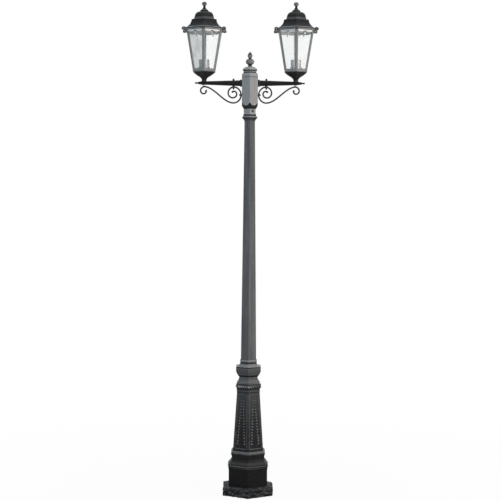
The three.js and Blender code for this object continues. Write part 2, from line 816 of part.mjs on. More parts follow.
function scroll() {
  const middle_z = (bar_top_z + bar_low_z) / 2;
  const half_height = (bar_top_z - bar_low_z) / 2;
  const half_width = bolt_reach - loop_left;
  const inner = turnPoints([bolt_reach, bar_top_z - inner_turn_radius], turn_start_share,
    -inner_turn_share, inner_turn_radius, inner_turn_end_radius, inner_turn_steps).reverse();
  const loop = Array.from({ length: loop_steps + 1 }, (_, i) => {
    const angle = Math.PI * (0.5 + i / loop_steps);
    return [bolt_reach + half_width * Math.cos(angle), middle_z + half_height * Math.sin(angle)];
  });
  const handle = (lantern_reach - bolt_reach) * run_handle_share;
  const run = new THREE.CubicBezierCurve(
    new THREE.Vector2(bolt_reach, bar_low_z),
    new THREE.Vector2(bolt_reach + handle, bar_low_z),
    new THREE.Vector2(lantern_reach - handle, outer_top_z),
    new THREE.Vector2(lantern_reach, outer_top_z),
  ).getPoints(run_steps).map((point) => [point.x, point.y]);
  const outer = turnPoints([lantern_reach, outer_top_z - outer_turn_radius], turn_start_share,
    -outer_turn_share, outer_turn_radius, outer_turn_end_radius, outer_turn_steps);
  const points = [...inner, ...loop.slice(1), ...run.slice(1), ...outer.slice(1)];
  const buds = [points[0], points.at(-1)].map(([x, z]) => {
    return new THREE.SphereGeometry(scroll_bud_radius, small_sides, bar_sides).translate(x, 0, z);
  });
  const bolt_lug = rod(lug_radius, lug_low_z, bar_top_z + bar_radius + lug_proud - seat_gap);
  const wall_lug = layOut(rod(lug_radius, arm_start, loop_left + bar_radius), 1, wall_screw_z);
  const bolt_hole = rod(screw_radius + seat_gap, bar_top_z - lug_radius, arm_z);
  const wall_hole = layOut(rod(screw_radius + seat_gap, 0, loop_left + lug_radius), 1, wall_screw_z);
  return built(bentBar(points), [...buds, bolt_lug.translate(bolt_reach, 0, 0), wall_lug],
    [bolt_hole.translate(bolt_reach, 0, 0), wall_hole]);
}

// Scroll's bolt with a ball head on the arm, its nut under the lug, and the screw into the hub's wall
function scrollBolt() {
  const seat = bolt_seat_z + seat_gap;
  return turn([
    [0, lug_low_z - seat_gap - small_nut_height - screw_radius],
    [screw_radius, lug_low_z - seat_gap - small_nut_height - screw_radius],
    [screw_radius, seat],
    [ball_radius, seat],
    [ball_radius, seat + ball_radius / 2],
    ...bow([ball_radius, seat + ball_radius], [0, seat + 2 * ball_radius], ball_bulge_share, short_bend_steps),
  ], small_sides).translate(bolt_reach, 0, 0);
}

function scrollNut() {
  const low = lug_low_z - seat_gap - small_nut_height;
  const hole = rod(screw_radius + seat_gap, low - cut_overrun, low + small_nut_height + cut_overrun);
  return built(hexBar(small_nut_across, low, low + small_nut_height), [], [hole]).translate(bolt_reach, 0, 0);
}

function wallScrew() {
  const seat = loop_left + bar_radius + seat_gap;
  return layOut(turn([
    [0, hub_bore - screw_radius],
    [screw_radius, hub_bore - screw_radius],
    [screw_radius, seat],
    [screw_head_radius, seat],
    [screw_head_radius, seat + screw_head_height / 2],
    [screw_radius, seat + screw_head_height],
    [0, seat + screw_head_height],
  ], small_sides), 1, wall_screw_z);
}

// Heights of the lantern
const cup_z = saddle_top_z + seat_gap;
const cup_waist_z = cup_z + cup_neck_height + cup_waist_height;
const cup_rim_z = cup_waist_z + cup_bowl_height;
const cup_floor_z = cup_z + cup_floor_height;
const cage_z = cup_rim_z + cup_rim_height + seat_gap;
const cage_head_z = cage_z + cage_height;
const eave_z = cage_head_z - eave_overlap;
const skirt_z = eave_z + eave_height + eave_slope;
const step_z = skirt_z + skirt_height;
const drum_z = step_z + step_height;
const dome_z = drum_z + drum_height;
const roof_top_z = dome_z + dome_height;
const sleeve_z = cup_floor_z + seat_gap;
const holder_floor_z = sleeve_z + sleeve_wall;
const holder_top_z = sleeve_z + sleeve_height - holder_recess;

// Base cup, with a floor for the lamp sleeve inside its rim
function baseCup() {
  const neck = cup_neck_across / 2;
  const waist = cup_waist_across / 2;
  const rim = cup_rim_across / 2;
  const neck_top = cup_z + cup_neck_height;
  const cup = turn([
    [0, cup_z],
    [neck, cup_z],
    ...bow([neck, neck_top], [waist, cup_waist_z], cup_waist_bulge_share),
    ...bow([waist, cup_waist_z], [rim, cup_rim_z], cup_bowl_bulge_share),
    [rim, cage_z - seat_gap],
    [rim - cup_wall, cage_z - seat_gap],
    [rim - 3 * cup_wall, cup_floor_z],
    [0, cup_floor_z],
  ], hex_sides);
  return built(cup, [], [rod(stem_radius + seat_gap, cup_z - cut_overrun, cup_floor_z + cut_overrun)]);
}

// Stem: a hollow bolt whose head stands on the sleeve's floor, and its nut under the arm
function stem() {
  const low = saddle_low_z - seat_gap - stem_nut_height;
  const seat = holder_floor_z + seat_gap;
  const head = hexBar(stem_head_across, seat, seat + stem_head_height);
  return built(rod(stem_radius, low, seat + stem_head_height), [head],
    [rod(stem_bore, low - cut_overrun, seat + stem_head_height + cut_overrun)]);
}

function stemNut() {
  const low = saddle_low_z - seat_gap - stem_nut_height;
  return built(hexBar(stem_nut_across, low, low + stem_nut_height), [],
    [rod(stem_radius + seat_gap, low - cut_overrun, low + stem_nut_height + cut_overrun)]);
}

// Cage: a tapering shell with a ledge for the panes and one scalloped opening in each face
const cage_run = (cage_head_across - cage_foot_across) / 2;
const cage_lean = Math.atan2(cage_run, cage_height);
const face_length = Math.hypot(cage_height, cage_run);

// Half the face's width at a height up the face, less a margin
function faceHalf(up, margin) {
  return side_share * (cage_foot_across / 2 + cage_run * up / face_length) - margin;
}

function openingOutline() {
  const spring = face_length - valance_drop;
  const low_half = faceHalf(sill_height, mullion_width);
  const high_half = faceHalf(spring, mullion_width);
  const lobe = (from, to, base, rise) => Array.from({ length: lobe_steps + 1 }, (_, i) => {
    const t = i / lobe_steps;
    return [from + (to - from) * t, base + rise * Math.sin(Math.PI * t)];
  });
  const half_pendant = pendant_width / 2;
  return [
    ...lobe(-low_half, -half_pendant, sill_height + sill_lobe, -sill_lobe),
    [0, sill_height + sill_peak],
    ...lobe(half_pendant, low_half, sill_height + sill_lobe, -sill_lobe),
    ...lobe(high_half, half_pendant, spring, valance_lobe),
    [half_pendant, spring - valance_pendant + half_pendant],
    [0, spring - valance_pendant],
    [-half_pendant, spring - valance_pendant + half_pendant],
    ...lobe(-half_pendant, -high_half, spring, valance_lobe),
  ].map(([x, y]) => new THREE.Vector2(x, y));
}

function cage() {
  const foot = cage_foot_across / 2;
  const head = cage_head_across / 2;
  const wall = cage_wall / Math.cos(cage_lean);
  const ledge = ledge_across / 2;
  const ledge_top = cage_z + ledge_height;
  const rail_top = foot_rail_height + foot_rail_out;
  const shell = turn([
    [ledge, cage_z],
    [foot + foot_rail_out, cage_z],
    [foot + foot_rail_out, cage_z + foot_rail_height],
    [foot + cage_run * rail_top / cage_height, cage_z + rail_top],
    [head, cage_head_z],
    [head - wall, cage_head_z],
    [foot - wall + cage_run * ledge_height / cage_height, ledge_top],
    [ledge, ledge_top],
  ], hex_sides);
  const outline = openingOutline();
  const openings = flat_angles.map((angle) => onFlat(outline, cage_foot_across, cage_head_across,
    cage_height, cage_z, -cut_overrun, cage_wall + cut_overrun, angle));
  return built(shell, [], openings);
}

// A pane behind one face of the cage, standing on the ledge
function pane(i) {
  const near = cage_wall + seat_gap;
  const far = near + glass_thickness;
  const foot_rise = ledge_height + seat_gap + glass_thickness * Math.sin(cage_lean);
  const low = foot_rise / Math.cos(cage_lean) + near * Math.tan(cage_lean);
  const high = face_length - glass_head_gap - far * Math.tan(cage_lean);
  const margin = side_share * far / Math.cos(cage_lean) + seat_gap;
  const outline = [
    [-faceHalf(low, margin), low], [faceHalf(low, margin), low],
    [faceHalf(high, margin), high], [-faceHalf(high, margin), high],
  ].map(([x, y]) => new THREE.Vector2(x, y));
  return onFlat(outline, cage_foot_across, cage_head_across, cage_height, cage_z, near, far, flat_angles[i]);
}

// Lamp sleeve with a floor that the stem's head clamps
function lampSleeve() {
  const inside = sleeve_radius - sleeve_wall;
  const hole = stem_radius + seat_gap;
  return turn([
    [hole, sleeve_z],
    [sleeve_radius, sleeve_z],
    [sleeve_radius, sleeve_z + sleeve_height],
    [inside, sleeve_z + sleeve_height],
    [inside, holder_floor_z],
    [hole, holder_floor_z],
  ], round_sides);
}

// Insulator with a raised contact in its bore, and a recess over the stem's head
const bore_floor_z = holder_floor_z + seat_gap + insulator_recess + insulator_floor;

function insulator() {
  const outside = sleeve_radius - sleeve_wall - seat_gap;
  const low = holder_floor_z + seat_gap;
  return turn([
    [0, low + insulator_recess],
    [insulator_recess_radius, low + insulator_recess],
    [insulator_recess_radius, low],
    [outside, low],
    [outside, holder_top_z],
    [insulator_bore, holder_top_z],
    [insulator_bore, bore_floor_z],
    [contact_radius, bore_floor_z],
    [contact_radius, bore_floor_z + contact_height],
    [0, bore_floor_z + contact_height],
  ], round_sides);
}

// Socket shell, hung by its lip on the insulator
function socketShell() {
  const outside = insulator_bore - seat_gap;
  const lip_z = holder_top_z + seat_gap;
  return turn([
    [outside - socket_wall, lip_z - socket_length],
    [outside, lip_z - socket_length],
    [outside, lip_z],
    [insulator_bore + 2 * socket_wall, lip_z],
    [insulator_bore + 2 * socket_wall, lip_z + socket_wall],
    [outside - socket_wall, lip_z + socket_wall],
  ], round_sides);
}

// Roof: a hood that drops over the cage's head and rests on it, with an ear at each corner
function roof() {
  const eave = eave_across / 2;
  const socket = cage_head_across / 2 + 2 * seat_gap;
  const shoulder = cage_head_across / 2 - 2 * cage_wall;
  const seat = cage_head_z + seat_gap;
  const skirt = eave - eave_slope_run;
  const step = skirt_head_across / 2;
  const drum = drum_across / 2;
  const drum_head = drum_head_across / 2;
  const dome = dome_head_across / 2;
  const hood = turn([
    [socket, eave_z],
    [eave, eave_z],
    [eave, eave_z + eave_height],
    ...bow([skirt, skirt_z], [step, step_z], skirt_bulge_share),
    [step, drum_z],
    ...bow([drum, drum_z], [drum_head, dome_z], drum_bulge_share, 2),
    ...bow([drum_head, dome_z], [dome, roof_top_z], dome_bulge_share),
    [0, roof_top_z],
    [0, roof_top_z - roof_wall],
    ...bow([dome - roof_wall, roof_top_z - roof_wall], [drum_head - roof_wall, dome_z - roof_wall],
      -dome_bulge_share),
    [drum - roof_wall, step_z - roof_wall],
    [step - roof_wall, step_z - roof_wall],
    ...bow([step - roof_wall, step_z - roof_wall], [shoulder, seat + roof_wall], -skirt_bulge_share),
    [shoulder, seat],
    [socket, seat],
  ], hex_sides);
  const corner = eave * corner_stretch;
  const outline = ear_shares.map(([out, up]) => new THREE.Vector2(corner + out * ear_reach, up * eave_height));
  const ears = flat_angles.map((angle) => {
    const ear = new THREE.ExtrudeGeometry(new THREE.Shape(outline), { depth: ear_width, bevelEnabled: false });
    ear.translate(0, 0, -ear_width / 2).rotateX(Math.PI / 2);
    return ear.translate(0, 0, eave_z).rotateZ(angle + Math.PI / hex_sides);
  });
  const cutters = [rod(stud_radius + seat_gap, dome_z, roof_top_z + cut_overrun)];
  for (const side of [-1, 1]) {
    const hole = rod(thumb_screw_radius + seat_gap, cage_head_across / 2, eave + cut_overrun);
    cutters.push(layOut(hole, side, eave_z + eave_overlap / 2));
  }
  return built(hood, ears, cutters);
}

// Thumb screw in the eave, whose point bears on the cage's head
function thumbScrew(side) {
  const seat = eave_across / 2 + seat_gap;
  const point = cage_head_across / 2 + seat_gap;
  return layOut(turn([
    [0, point],
    [thumb_screw_radius, point],
    [thumb_screw_radius, seat],
    [thumb_head_radius, seat],
    [thumb_head_radius, seat + thumb_head_height],
    [0, seat + thumb_head_height],
  ], small_sides), side, eave_z + eave_overlap / 2);
}

// Roof knob with its stud
function roofKnob() {
  const low = roof_top_z + seat_gap;
  const collar = low + knob_foot_height;
  const waist = low + knob_waist_height;
  const ball = low + knob_height - knob_radius / 2;
  return turn([
    [0, roof_top_z - roof_wall],
    [stud_radius, roof_top_z - roof_wall],
    [stud_radius, low],
    [knob_foot_radius, low],
    [knob_foot_radius, collar],
    [knob_cone_radius, collar],
    ...bow([knob_cone_radius, collar], [knob_waist_radius, waist], knob_cone_bulge_share, short_bend_steps),
    [knob_waist_radius, waist + knob_neck_height],
    ...bow([knob_waist_radius, waist + knob_neck_height], [knob_radius, ball], knob_neck_bulge_share,
      short_bend_steps),
    ...bow([knob_radius, ball], [0, low + knob_height], knob_top_bulge_share),
  ], round_sides);
}

addPiece('foot_casting', footCasting(), black_cast);
addPiece('pedestal_casting', pedestalCasting(), black_cast);
addPiece('collar_casting', collarCasting(), shaft_cast);
addPiece('shaft_casting', shaftCasting(), shaft_cast);
addPiece('tie_tube', tieTube(), zinc_steel);
addPiece('tie_nut_lower', tieNut(foot_web_z - seat_gap - nut_height), zinc_steel);
addPiece('tie_nut_upper', tieNut(spigot_top_z + seat_gap), zinc_steel);
addPiece('hub_casting', hubCasting(), rubbed_cast);
for (let i = 0; i < set_screw_count; i++) addPiece(`neck_set_screw_${i + 1}`, setScrew(i), zinc_steel);
addPiece('hub_lid', hubLid(), rubbed_cast);
addPiece('post_finial', postFinial(), rubbed_cast);

const cage_shape = cage();
const roof_shape = roof();
for (const [name, side] of [['left', -1], ['right', 1]]) {
  const add = (part, geometry, finish) => addPiece(`${name}_${part}`, onSide(geometry, side), finish);
  const addAtLantern = (part, geometry, finish) => add(part, geometry.translate(lantern_reach, 0, 0), finish);
  add('arm', arm(), black_cast);
  add('arm_tip', armTip(), black_cast);
  add('scroll', scroll(), black_iron);
  add('scroll_bolt', scrollBolt(), black_iron);
  add('scroll_nut', scrollNut(), black_iron);
  add('scroll_wall_screw', wallScrew(), black_iron);
  addAtLantern('base_cup', baseCup(), black_cast);
  addAtLantern('stem', stem(), zinc_steel);
  addAtLantern('stem_nut', stemNut(), zinc_steel);
  addAtLantern('cage', cage_shape.clone(), rubbed_cast);
  for (let i = 0; i < hex_sides; i++) addAtLantern(`glass_pane_${i + 1}`, pane(i), clear_glass);
  addAtLantern('lamp_sleeve', lampSleeve(), satin_sleeve);
  addAtLantern('socket_base', insulator(), white_insulator);
  addAtLantern('socket_shell', socketShell(), brass);
  addAtLantern('roof', roof_shape.clone(), black_cast);
  addAtLantern('roof_knob', roofKnob(), black_cast);
  addAtLantern('roof_screw_1', thumbScrew(1), zinc_steel);
  addAtLantern('roof_screw_2', thumbScrew(-1), zinc_steel);
}

export default post;
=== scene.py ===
import math

import bpy
from mathutils import Matrix, Vector, noise


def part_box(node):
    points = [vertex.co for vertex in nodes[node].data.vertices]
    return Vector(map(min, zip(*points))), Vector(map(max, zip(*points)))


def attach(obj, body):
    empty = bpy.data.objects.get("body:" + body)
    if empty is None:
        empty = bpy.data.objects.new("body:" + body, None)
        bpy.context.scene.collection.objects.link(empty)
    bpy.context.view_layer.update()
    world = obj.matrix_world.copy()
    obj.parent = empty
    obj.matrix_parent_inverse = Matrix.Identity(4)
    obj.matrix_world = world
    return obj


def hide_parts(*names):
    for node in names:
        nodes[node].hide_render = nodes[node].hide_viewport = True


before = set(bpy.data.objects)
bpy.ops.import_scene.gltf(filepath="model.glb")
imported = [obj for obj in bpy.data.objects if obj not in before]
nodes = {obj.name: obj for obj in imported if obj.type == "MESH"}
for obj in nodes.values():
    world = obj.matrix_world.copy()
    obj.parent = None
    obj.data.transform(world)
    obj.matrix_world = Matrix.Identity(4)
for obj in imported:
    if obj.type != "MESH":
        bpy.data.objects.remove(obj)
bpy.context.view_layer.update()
scene = bpy.context.scene
mm = 0.001

# Camera. It stands about six metres in front of the post, at chest height, and looks slightly down,
# leaning a little to one side, so that the whole post fits the square picture.
camera_place = (4.4 * mm, -5.86, 1.38)
camera_pitch = math.radians(2.287)
camera_lean = math.radians(0.3)
camera_lens = 90.1
film_width = 36


def placed(name, data):
    """A new object in the scene."""
    thing = bpy.data.objects.new(name, data)
    scene.collection.objects.link(thing)
    return thing


camera = placed("camera", bpy.data.cameras.new("camera"))
camera.data.lens = camera_lens
camera.data.sensor_width = film_width
camera.matrix_world = (
    Matrix.Translation(camera_place)
    @ Matrix.Rotation(math.pi / 2 - camera_pitch, 4, "X")
    @ Matrix.Rotation(camera_lean, 4, "Z")
)
scene.camera = camera
scene.view_settings.view_transform = "Standard"


# Studio. A white room of soft light with a warm lamp at the right, a cool one at the left, one above and
# one behind; the floor is pale and takes a soft shadow.
class Socket:
    """A value in a node tree that is added, multiplied and compared like a number."""

    def __init__(self, maker, socket):
        self.maker = maker
        self.socket = socket

    def maths(self, operation, first, second=0.0):
        return self.maker.node("ShaderNodeMath", {0: first, 1: second}, operation=operation)

    def __add__(self, other):
        return self.maths("ADD", self, other)

    def __sub__(self, other):
        return self.maths("SUBTRACT", self, other)

    def __mul__(self, other):
        return self.maths("MULTIPLY", self, other)

    def __truediv__(self, other):
        return self.maths("DIVIDE", self, other)

    def __rsub__(self, other):
        return self.maths("SUBTRACT", other, self)

    __radd__ = __add__
    __rmul__ = __mul__

    def high(self, other):
        return self.maths("MAXIMUM", self, other)

    def span(self, low, high):
        """The value taken from low..high to 0..1, held at both ends."""
        return self.maker.node("ShaderNodeMapRange", {0: self, 1: low, 2: high}, clamp=True)


class Maker:
    """Builds a node tree: any node from its type, the values or links of its sockets, and its settings."""

    def __init__(self, tree):
        self.tree = tree
        tree.nodes.clear()

    def node(self, kind, inputs=None, output=0, **settings):
        node = self.tree.nodes.new(kind)
        for name, value in settings.items():
            setattr(node, name, value)
        for name, value in (inputs or {}).items():
            if isinstance(value, Socket):
                self.tree.links.new(value.socket, node.inputs[name])
            else:
                node.inputs[name].default_value = value
        return Socket(self, node.outputs[output]) if node.outputs else node

    def vector(self, **axes):
        return self.node("ShaderNodeCombineXYZ", axes)

    def axis(self, vector, name):
        return self.node("ShaderNodeSeparateXYZ", {"Vector": vector}, name)

    def mark(self, name):
        """A number that the points of the mesh carry, such as their wear."""
        return self.node("ShaderNodeAttribute", output="Fac", attribute_name=name)


def new_finish(name):
    """A new material, the maker of its nodes, and the place on the object that they colour."""
    material = bpy.data.materials.new(name)
    material.use_nodes = True
    maker = Maker(material.node_tree)
    return material, maker, maker.node("ShaderNodeTexCoord", output="Object")


def seen_rays(maker):
    """One for rays that show the room itself: straight to the camera, in a reflection or through glass."""
    straight, mirrored, through_glass = (
        maker.node("ShaderNodeLightPath", output=f"Is {kind} Ray")
        for kind in ("Camera", "Glossy", "Transmission"))
    return straight.high(mirrored).high(through_glass)


world = bpy.data.worlds.new("white_room")
world.use_nodes = True
room = Maker(world.node_tree)
room_light = 0.5
room_tint = (0.93, 0.97, 1.0, 1)
lit_room = room.node("ShaderNodeBackground", {"Color": room_tint, "Strength": room_light})
seen_room = room.node("ShaderNodeBackground", {"Color": (1, 1, 1, 1), "Strength": 1.0})
room_mix = room.node("ShaderNodeMixShader", {0: seen_rays(room), 1: lit_room, 2: seen_room})
room.node("ShaderNodeOutputWorld", {"Surface": room_mix})
scene.world = world

# Lamp: name, place, size, power and colour
lamps = [
    ("warm_lamp", (3.4, -2.3, 1.7), 1.2, 84, (1.0, 0.86, 0.76)),
    ("cool_lamp", (-3.2, -2.6, 1.2), 1.8, 22, (0.8, 0.9, 1.0)),
    ("top_lamp", (0.6, -0.8, 5.2), 1.8, 34, (1.0, 1.0, 1.0)),
    ("back_lamp", (0.8, 3.4, 3.2), 2.0, 16, (1.0, 1.0, 1.0)),
]
lamp_aim = Vector((0, 0, 1.1))
for name, place, size, power, colour in lamps:
    light = bpy.data.lights.new(name, "AREA")
    light.size = size
    light.energy = power
    light.color = colour
    lamp = placed(name, light)
    lamp.location = place
    lamp.rotation_euler = (lamp_aim - Vector(place)).to_track_quat("-Z", "Y").to_euler()

floor_half = 12.0
floor_shade = 0.6
shadow_share = 0.04
shadow_reach = 2.5
floor_mesh = bpy.data.meshes.new("floor")
corners = [(x * floor_half, y * floor_half, 0) for x, y in ((-1, -1), (1, -1), (1, 1), (-1, 1))]
floor_mesh.from_pydata(corners, [], [(0, 1, 2, 3)])
floor = placed("floor", floor_mesh)
floor_finish, maker, place = new_finish("pale_floor")
paper = maker.node("ShaderNodeBsdfDiffuse", {"Color": (floor_shade, floor_shade, floor_shade, 1)})
glow = maker.node("ShaderNodeEmission", {"Color": (1, 1, 1, 1), "Strength": 1.0})
distance = maker.node("ShaderNodeVectorMath", {0: place}, "Value", operation="LENGTH")
floor_glow = seen_rays(maker) * (1 - (1 - distance.span(0.0, shadow_reach)) * shadow_share)
floor_mix = maker.node("ShaderNodeMixShader", {0: floor_glow, 1: paper, 2: glow})
maker.node("ShaderNodeOutputMaterial", {"Surface": floor_mix})
floor_mesh.materials.append(floor_finish)

# Foot. A hollow aluminium sand casting: a base plate with a rough, wavy skin, a plain plinth, a band and
# a flared moulding with a row of beads. It is anchored through its floor, and painted black.
plate_height = 37 * mm
plate_rise = 5 * mm
plinth_half = 90 * mm
plinth_height = 80 * mm
band_height = 9.5 * mm
band_out = 1.5 * mm
groove_height = 1.5 * mm
groove_depth = 3 * mm
flare_half = 92 * mm
flare_lip = 4 * mm
head_half = 78 * mm
foot_height = 157 * mm
foot_wall = 7 * mm
foot_floor = 12 * mm
foot_opening_half = 36 * mm
foot_web = 10 * mm
foot_lip_half = 64.5 * mm
foot_lip_height = 8 * mm
anchor_circle_radius = 51 * mm
anchor_hole_radius = 6 * mm
anchor_turns = [math.radians(turn) for turn in (30, 150, 270)]
wrench_hole_radius = 13 * mm
overrun = 5 * mm
wave_height = 5 * mm
wave_depth = 5 * mm
waves_per_metre = 17
wave_squash = 2.6
wave_margin = 3 * mm
wave_fade = 14 * mm
ripple_scale = 2.1
ripple_start = Vector((7, 3, 5))
veins_across = 11
veins_upward = 70
vein_bend = 9
vein_sharpness = 7
vein_height = 1.2 * mm
skin_recess = 1 * mm
bead_spacing = 12 * mm
bead_radius = 2.8 * mm
bead_inset = 0.2 * mm
cos30 = math.cos(math.pi / 6)
tan30 = math.tan(math.pi / 6)


def srgb(red, green, blue):
    """A colour as it is seen, from 0 to 255, turned into the linear one that shaders take."""
    shares = [level / 255 for level in (red, green, blue)]
    return (*[s / 12.92 if s <= 0.04045 else ((s + 0.055) / 1.055) ** 2.4 for s in shares], 1)


def mixed(maker, factor, first, second):
    return maker.node("ShaderNodeMix", {0: factor, 6: first, 7: second}, 2, data_type="RGBA")


def speckle(maker, place, scale, detail=2.0, stretch=(1, 1, 1)):
    spot = maker.node("ShaderNodeMapping", {"Vector": place, "Scale": stretch})
    return maker.node("ShaderNodeTexNoise", {"Vector": spot, "Scale": scale, "Detail": detail}, "Fac")


def coated(material, maker, colour, rough, relief, strength, depth, others):
    """Ends a finish with its colour, its roughness, a relief so many mm deep, and other inputs."""
    bump = maker.node("ShaderNodeBump", {"Strength": strength, "Distance": depth * mm, "Height": relief})
    inputs = {"Base Color": colour, "Roughness": rough, "Normal": bump, **others}
    surface = maker.node("ShaderNodeBsdfPrincipled", inputs)
    maker.node("ShaderNodeOutputMaterial", {"Surface": surface})
    return material


def cast_finish(name, low, high, rubbed_and_lit, low_z=0.0, high_z=1.0, streaks=0.0, edges=0.75, top_rub_and_light=0.5,
                gloss=0.1, shade_strength=0.7, mottle=0.1, lining=None):
    """Paint on a sand casting: fine pits, soft blotches, and paler metal on its edges and upper sides. This
    is rubbed paint, and on the upper sides it is also painted light from above.

    The paint goes from one colour to another between two heights, and may run in upright streaks. Points
    marked below 0, in hollows, grooves and undersides, are darkened towards black as painted shade. Where
    an attribute of the casting says that it is the inside, it is lined with bright metal of another colour."""
    material, maker, place = new_finish(name)
    height = maker.axis(place, "Z").span(low_z, high_z)
    facing = maker.node("ShaderNodeNewGeometry", output="Normal")
    # Upward faces turn paler: painted light from above, together with rubbed paint
    upward = maker.axis(facing, "Z").span(0.15, 0.95)
    wear_and_shading = maker.mark("wear_and_shading")
    pits = speckle(maker, place, 950, 3.0)
    blotches = speckle(maker, place, 60, 4.0)
    runs = speckle(maker, place, 95, 3.0, (1, 1, 0.035))
    rub_and_highlight = wear_and_shading.span(0.05, 1.0) * (blotches.span(0.3, 0.55) * 0.4 + 0.6) * edges + upward * top_rub_and_light
    # Painted shade: points marked below 0, in hollows, grooves and undersides, go towards black
    painted_shade = (0 - wear_and_shading).span(0.05, 1.0) * shade_strength
    paint = mixed(maker, height, low, high)
    mottled = mixed(maker, (blotches.span(0.3, 0.7) + pits.span(0.3, 0.7)) * mottle, paint, rubbed_and_lit)
    streaked = mixed(maker, runs.span(0.35, 0.7) * streaks, mottled, rubbed_and_lit)
    worn_and_lit = mixed(maker, rub_and_highlight, streaked, rubbed_and_lit)
    shaded_paint = mixed(maker, painted_shade, worn_and_lit, (0.004, 0.004, 0.004, 1))
    metal = 0.0
    if lining:
        inside = maker.mark("inside")
        shaded_paint = mixed(maker, inside, shaded_paint, mixed(maker, blotches.span(0.3, 0.7) * 0.3, lining, rubbed_and_lit))
        metal = inside * 0.85
    return coated(material, maker, shaded_paint, pits.span(0.2, 0.8) * 0.16 + 0.46, pits + blotches * 0.6,
                  0.35, 0.5,
                  {"Metallic": metal, "Specular IOR Level": gloss})


def bow(start, end, share, steps=8):
    """Profile points from start to end that swell to the right of the way by a share of its length."""
    run, rise = end[0] - start[0], end[1] - start[1]
    points = []
    for step in range(steps + 1):
        t = step / steps
        out = 4 * share * t * (1 - t)
        points.append((start[0] + run * t + rise * out, start[1] + rise * t - run * out))
    return points


def along(start, end, steps):
    return bow(start, end, 0, steps)


def rounded(profile, steps=3):
    """Rounds a profile's corners.

    A point is (half width, height), then perhaps a radius in mm and a mark of wear and painted shade.
    Gives (half width, height, mark), where the mark is 1 on a standing edge, for rubbed paint, and -1 in a
    hollow one, for painted shade."""
    points = []
    for i, point in enumerate(profile):
        here = Vector(point[:2])
        radius = point[2] * mm if len(point) > 2 else 0
        before = Vector(profile[i - 1][:2]) - here
        after = Vector(profile[(i + 1) % len(profile)][:2]) - here
        given_wear_and_shading = point[3] if len(point) > 3 else None
        if not radius or not before.length or not after.length:
            points.append((here.x, here.y, given_wear_and_shading or 0))
            continue
        start = here + before.normalized() * min(radius, 0.45 * before.length)
        end = here + after.normalized() * min(radius, 0.45 * after.length)
        wear_and_shading = 1 if before.x * after.y - before.y * after.x < 0 else -1
        for step in range(steps + 1):
            t = step / steps
            spot = start * (1 - t) ** 2 + here * 2 * t * (1 - t) + end * t * t
            edge = wear_and_shading if 0 < step < steps else 0
            points.append((spot.x, spot.y, edge if given_wear_and_shading is None else given_wear_and_shading))
    return points


def worn_and_shaded(points, *wear_and_shading):
    """Profile points with a mark of their own. Above 0 is rubbed paint, which on upper sides also stands
    for painted light from above. Below 0 is painted shade in hollows and under ledges.

    The first points take the marks in turn and the others the last of them."""
    return [(half, height, 0, wear_and_shading[min(i, len(wear_and_shading) - 1)]) for i, (half, height) in enumerate(points)]


def hexagon(corner, flat_steps=1, corner_steps=3):
    """The section of a hexagonal casting, with a corner towards -Y and rounded corners."""
    def ring(half, height):
        radius = min(corner, 0.8 * half)
        reach = (half - radius) / cos30
        arcs = []
        for side in range(6):
            toward = math.radians(60 * side - 90)
            turns = [toward + math.radians(60 * step / corner_steps - 30)
                     for step in range(corner_steps + 1)]
            arcs.append([(reach * math.cos(toward) + radius * math.cos(turn),
                          reach * math.sin(toward) + radius * math.sin(turn), 0) for turn in turns])
        points = []
        for arc, following in zip(arcs, arcs[1:] + arcs[:1]):
            points += arc
            (x, y, _), (far_x, far_y, _) = arc[-1], following[0]
            for step in range(1, flat_steps):
                t = step / flat_steps
                points.append((x + (far_x - x) * t, y + (far_y - y) * t, 0))
        return points
    return ring


def circle(sides=48):
    def ring(half, height):
        turns = [2 * math.pi * side / sides for side in range(sides)]
        return [(half * math.cos(turn), half * math.sin(turn), 0) for turn in turns]
    return ring


def built(points, faces, wear_and_shading=()):
    """A mesh from its points, its faces and perhaps the mark of wear and painted shade of each point."""
    mesh = bpy.data.meshes.new("work")
    mesh.from_pydata(points, [], faces)
    if wear_and_shading:
        mesh.attributes.new("wear_and_shading", "FLOAT", "POINT").data.foreach_set("value", wear_and_shading)
    return mesh


def revolved(profile, ring):
    """A closed mesh from a profile that runs up the outside and down the inside, or from axis to axis."""
    points, wear_and_shading, loops, faces = [], [], [], []
    for half, height, edge in profile:
        section = [(0, 0, 0)] if half < 1e-6 else ring(half, height)
        loops.append(range(len(points), len(points) + len(section)))
        for x, y, corner in section:
            points.append((x, y, height))
            wear_and_shading.append(edge if edge < 0 else min(edge + corner, 1))
    open_ended = profile[0][0] < 1e-6
    for low, high in zip(loops, loops[1:] if open_ended else [*loops[1:], loops[0]]):
        for side in range(max(len(low), len(high))):
            a, b = low[side % len(low)], low[(side + 1) % len(low)]
            c, d = high[(side + 1) % len(high)], high[side % len(high)]
            face = list(dict.fromkeys((a, b, c, d)))
            if len(face) > 2:
                faces.append(face)
    return built(points, faces, wear_and_shading)


def wear_and_shading_marks(mesh):
    marks = mesh.attributes.get("wear_and_shading")
    return marks.data if marks else []


def settled(thing):
    """The mesh of an object after its modifiers."""
    bpy.context.view_layer.update()
    return bpy.data.meshes.new_from_object(thing.evaluated_get(bpy.context.evaluated_depsgraph_get()))


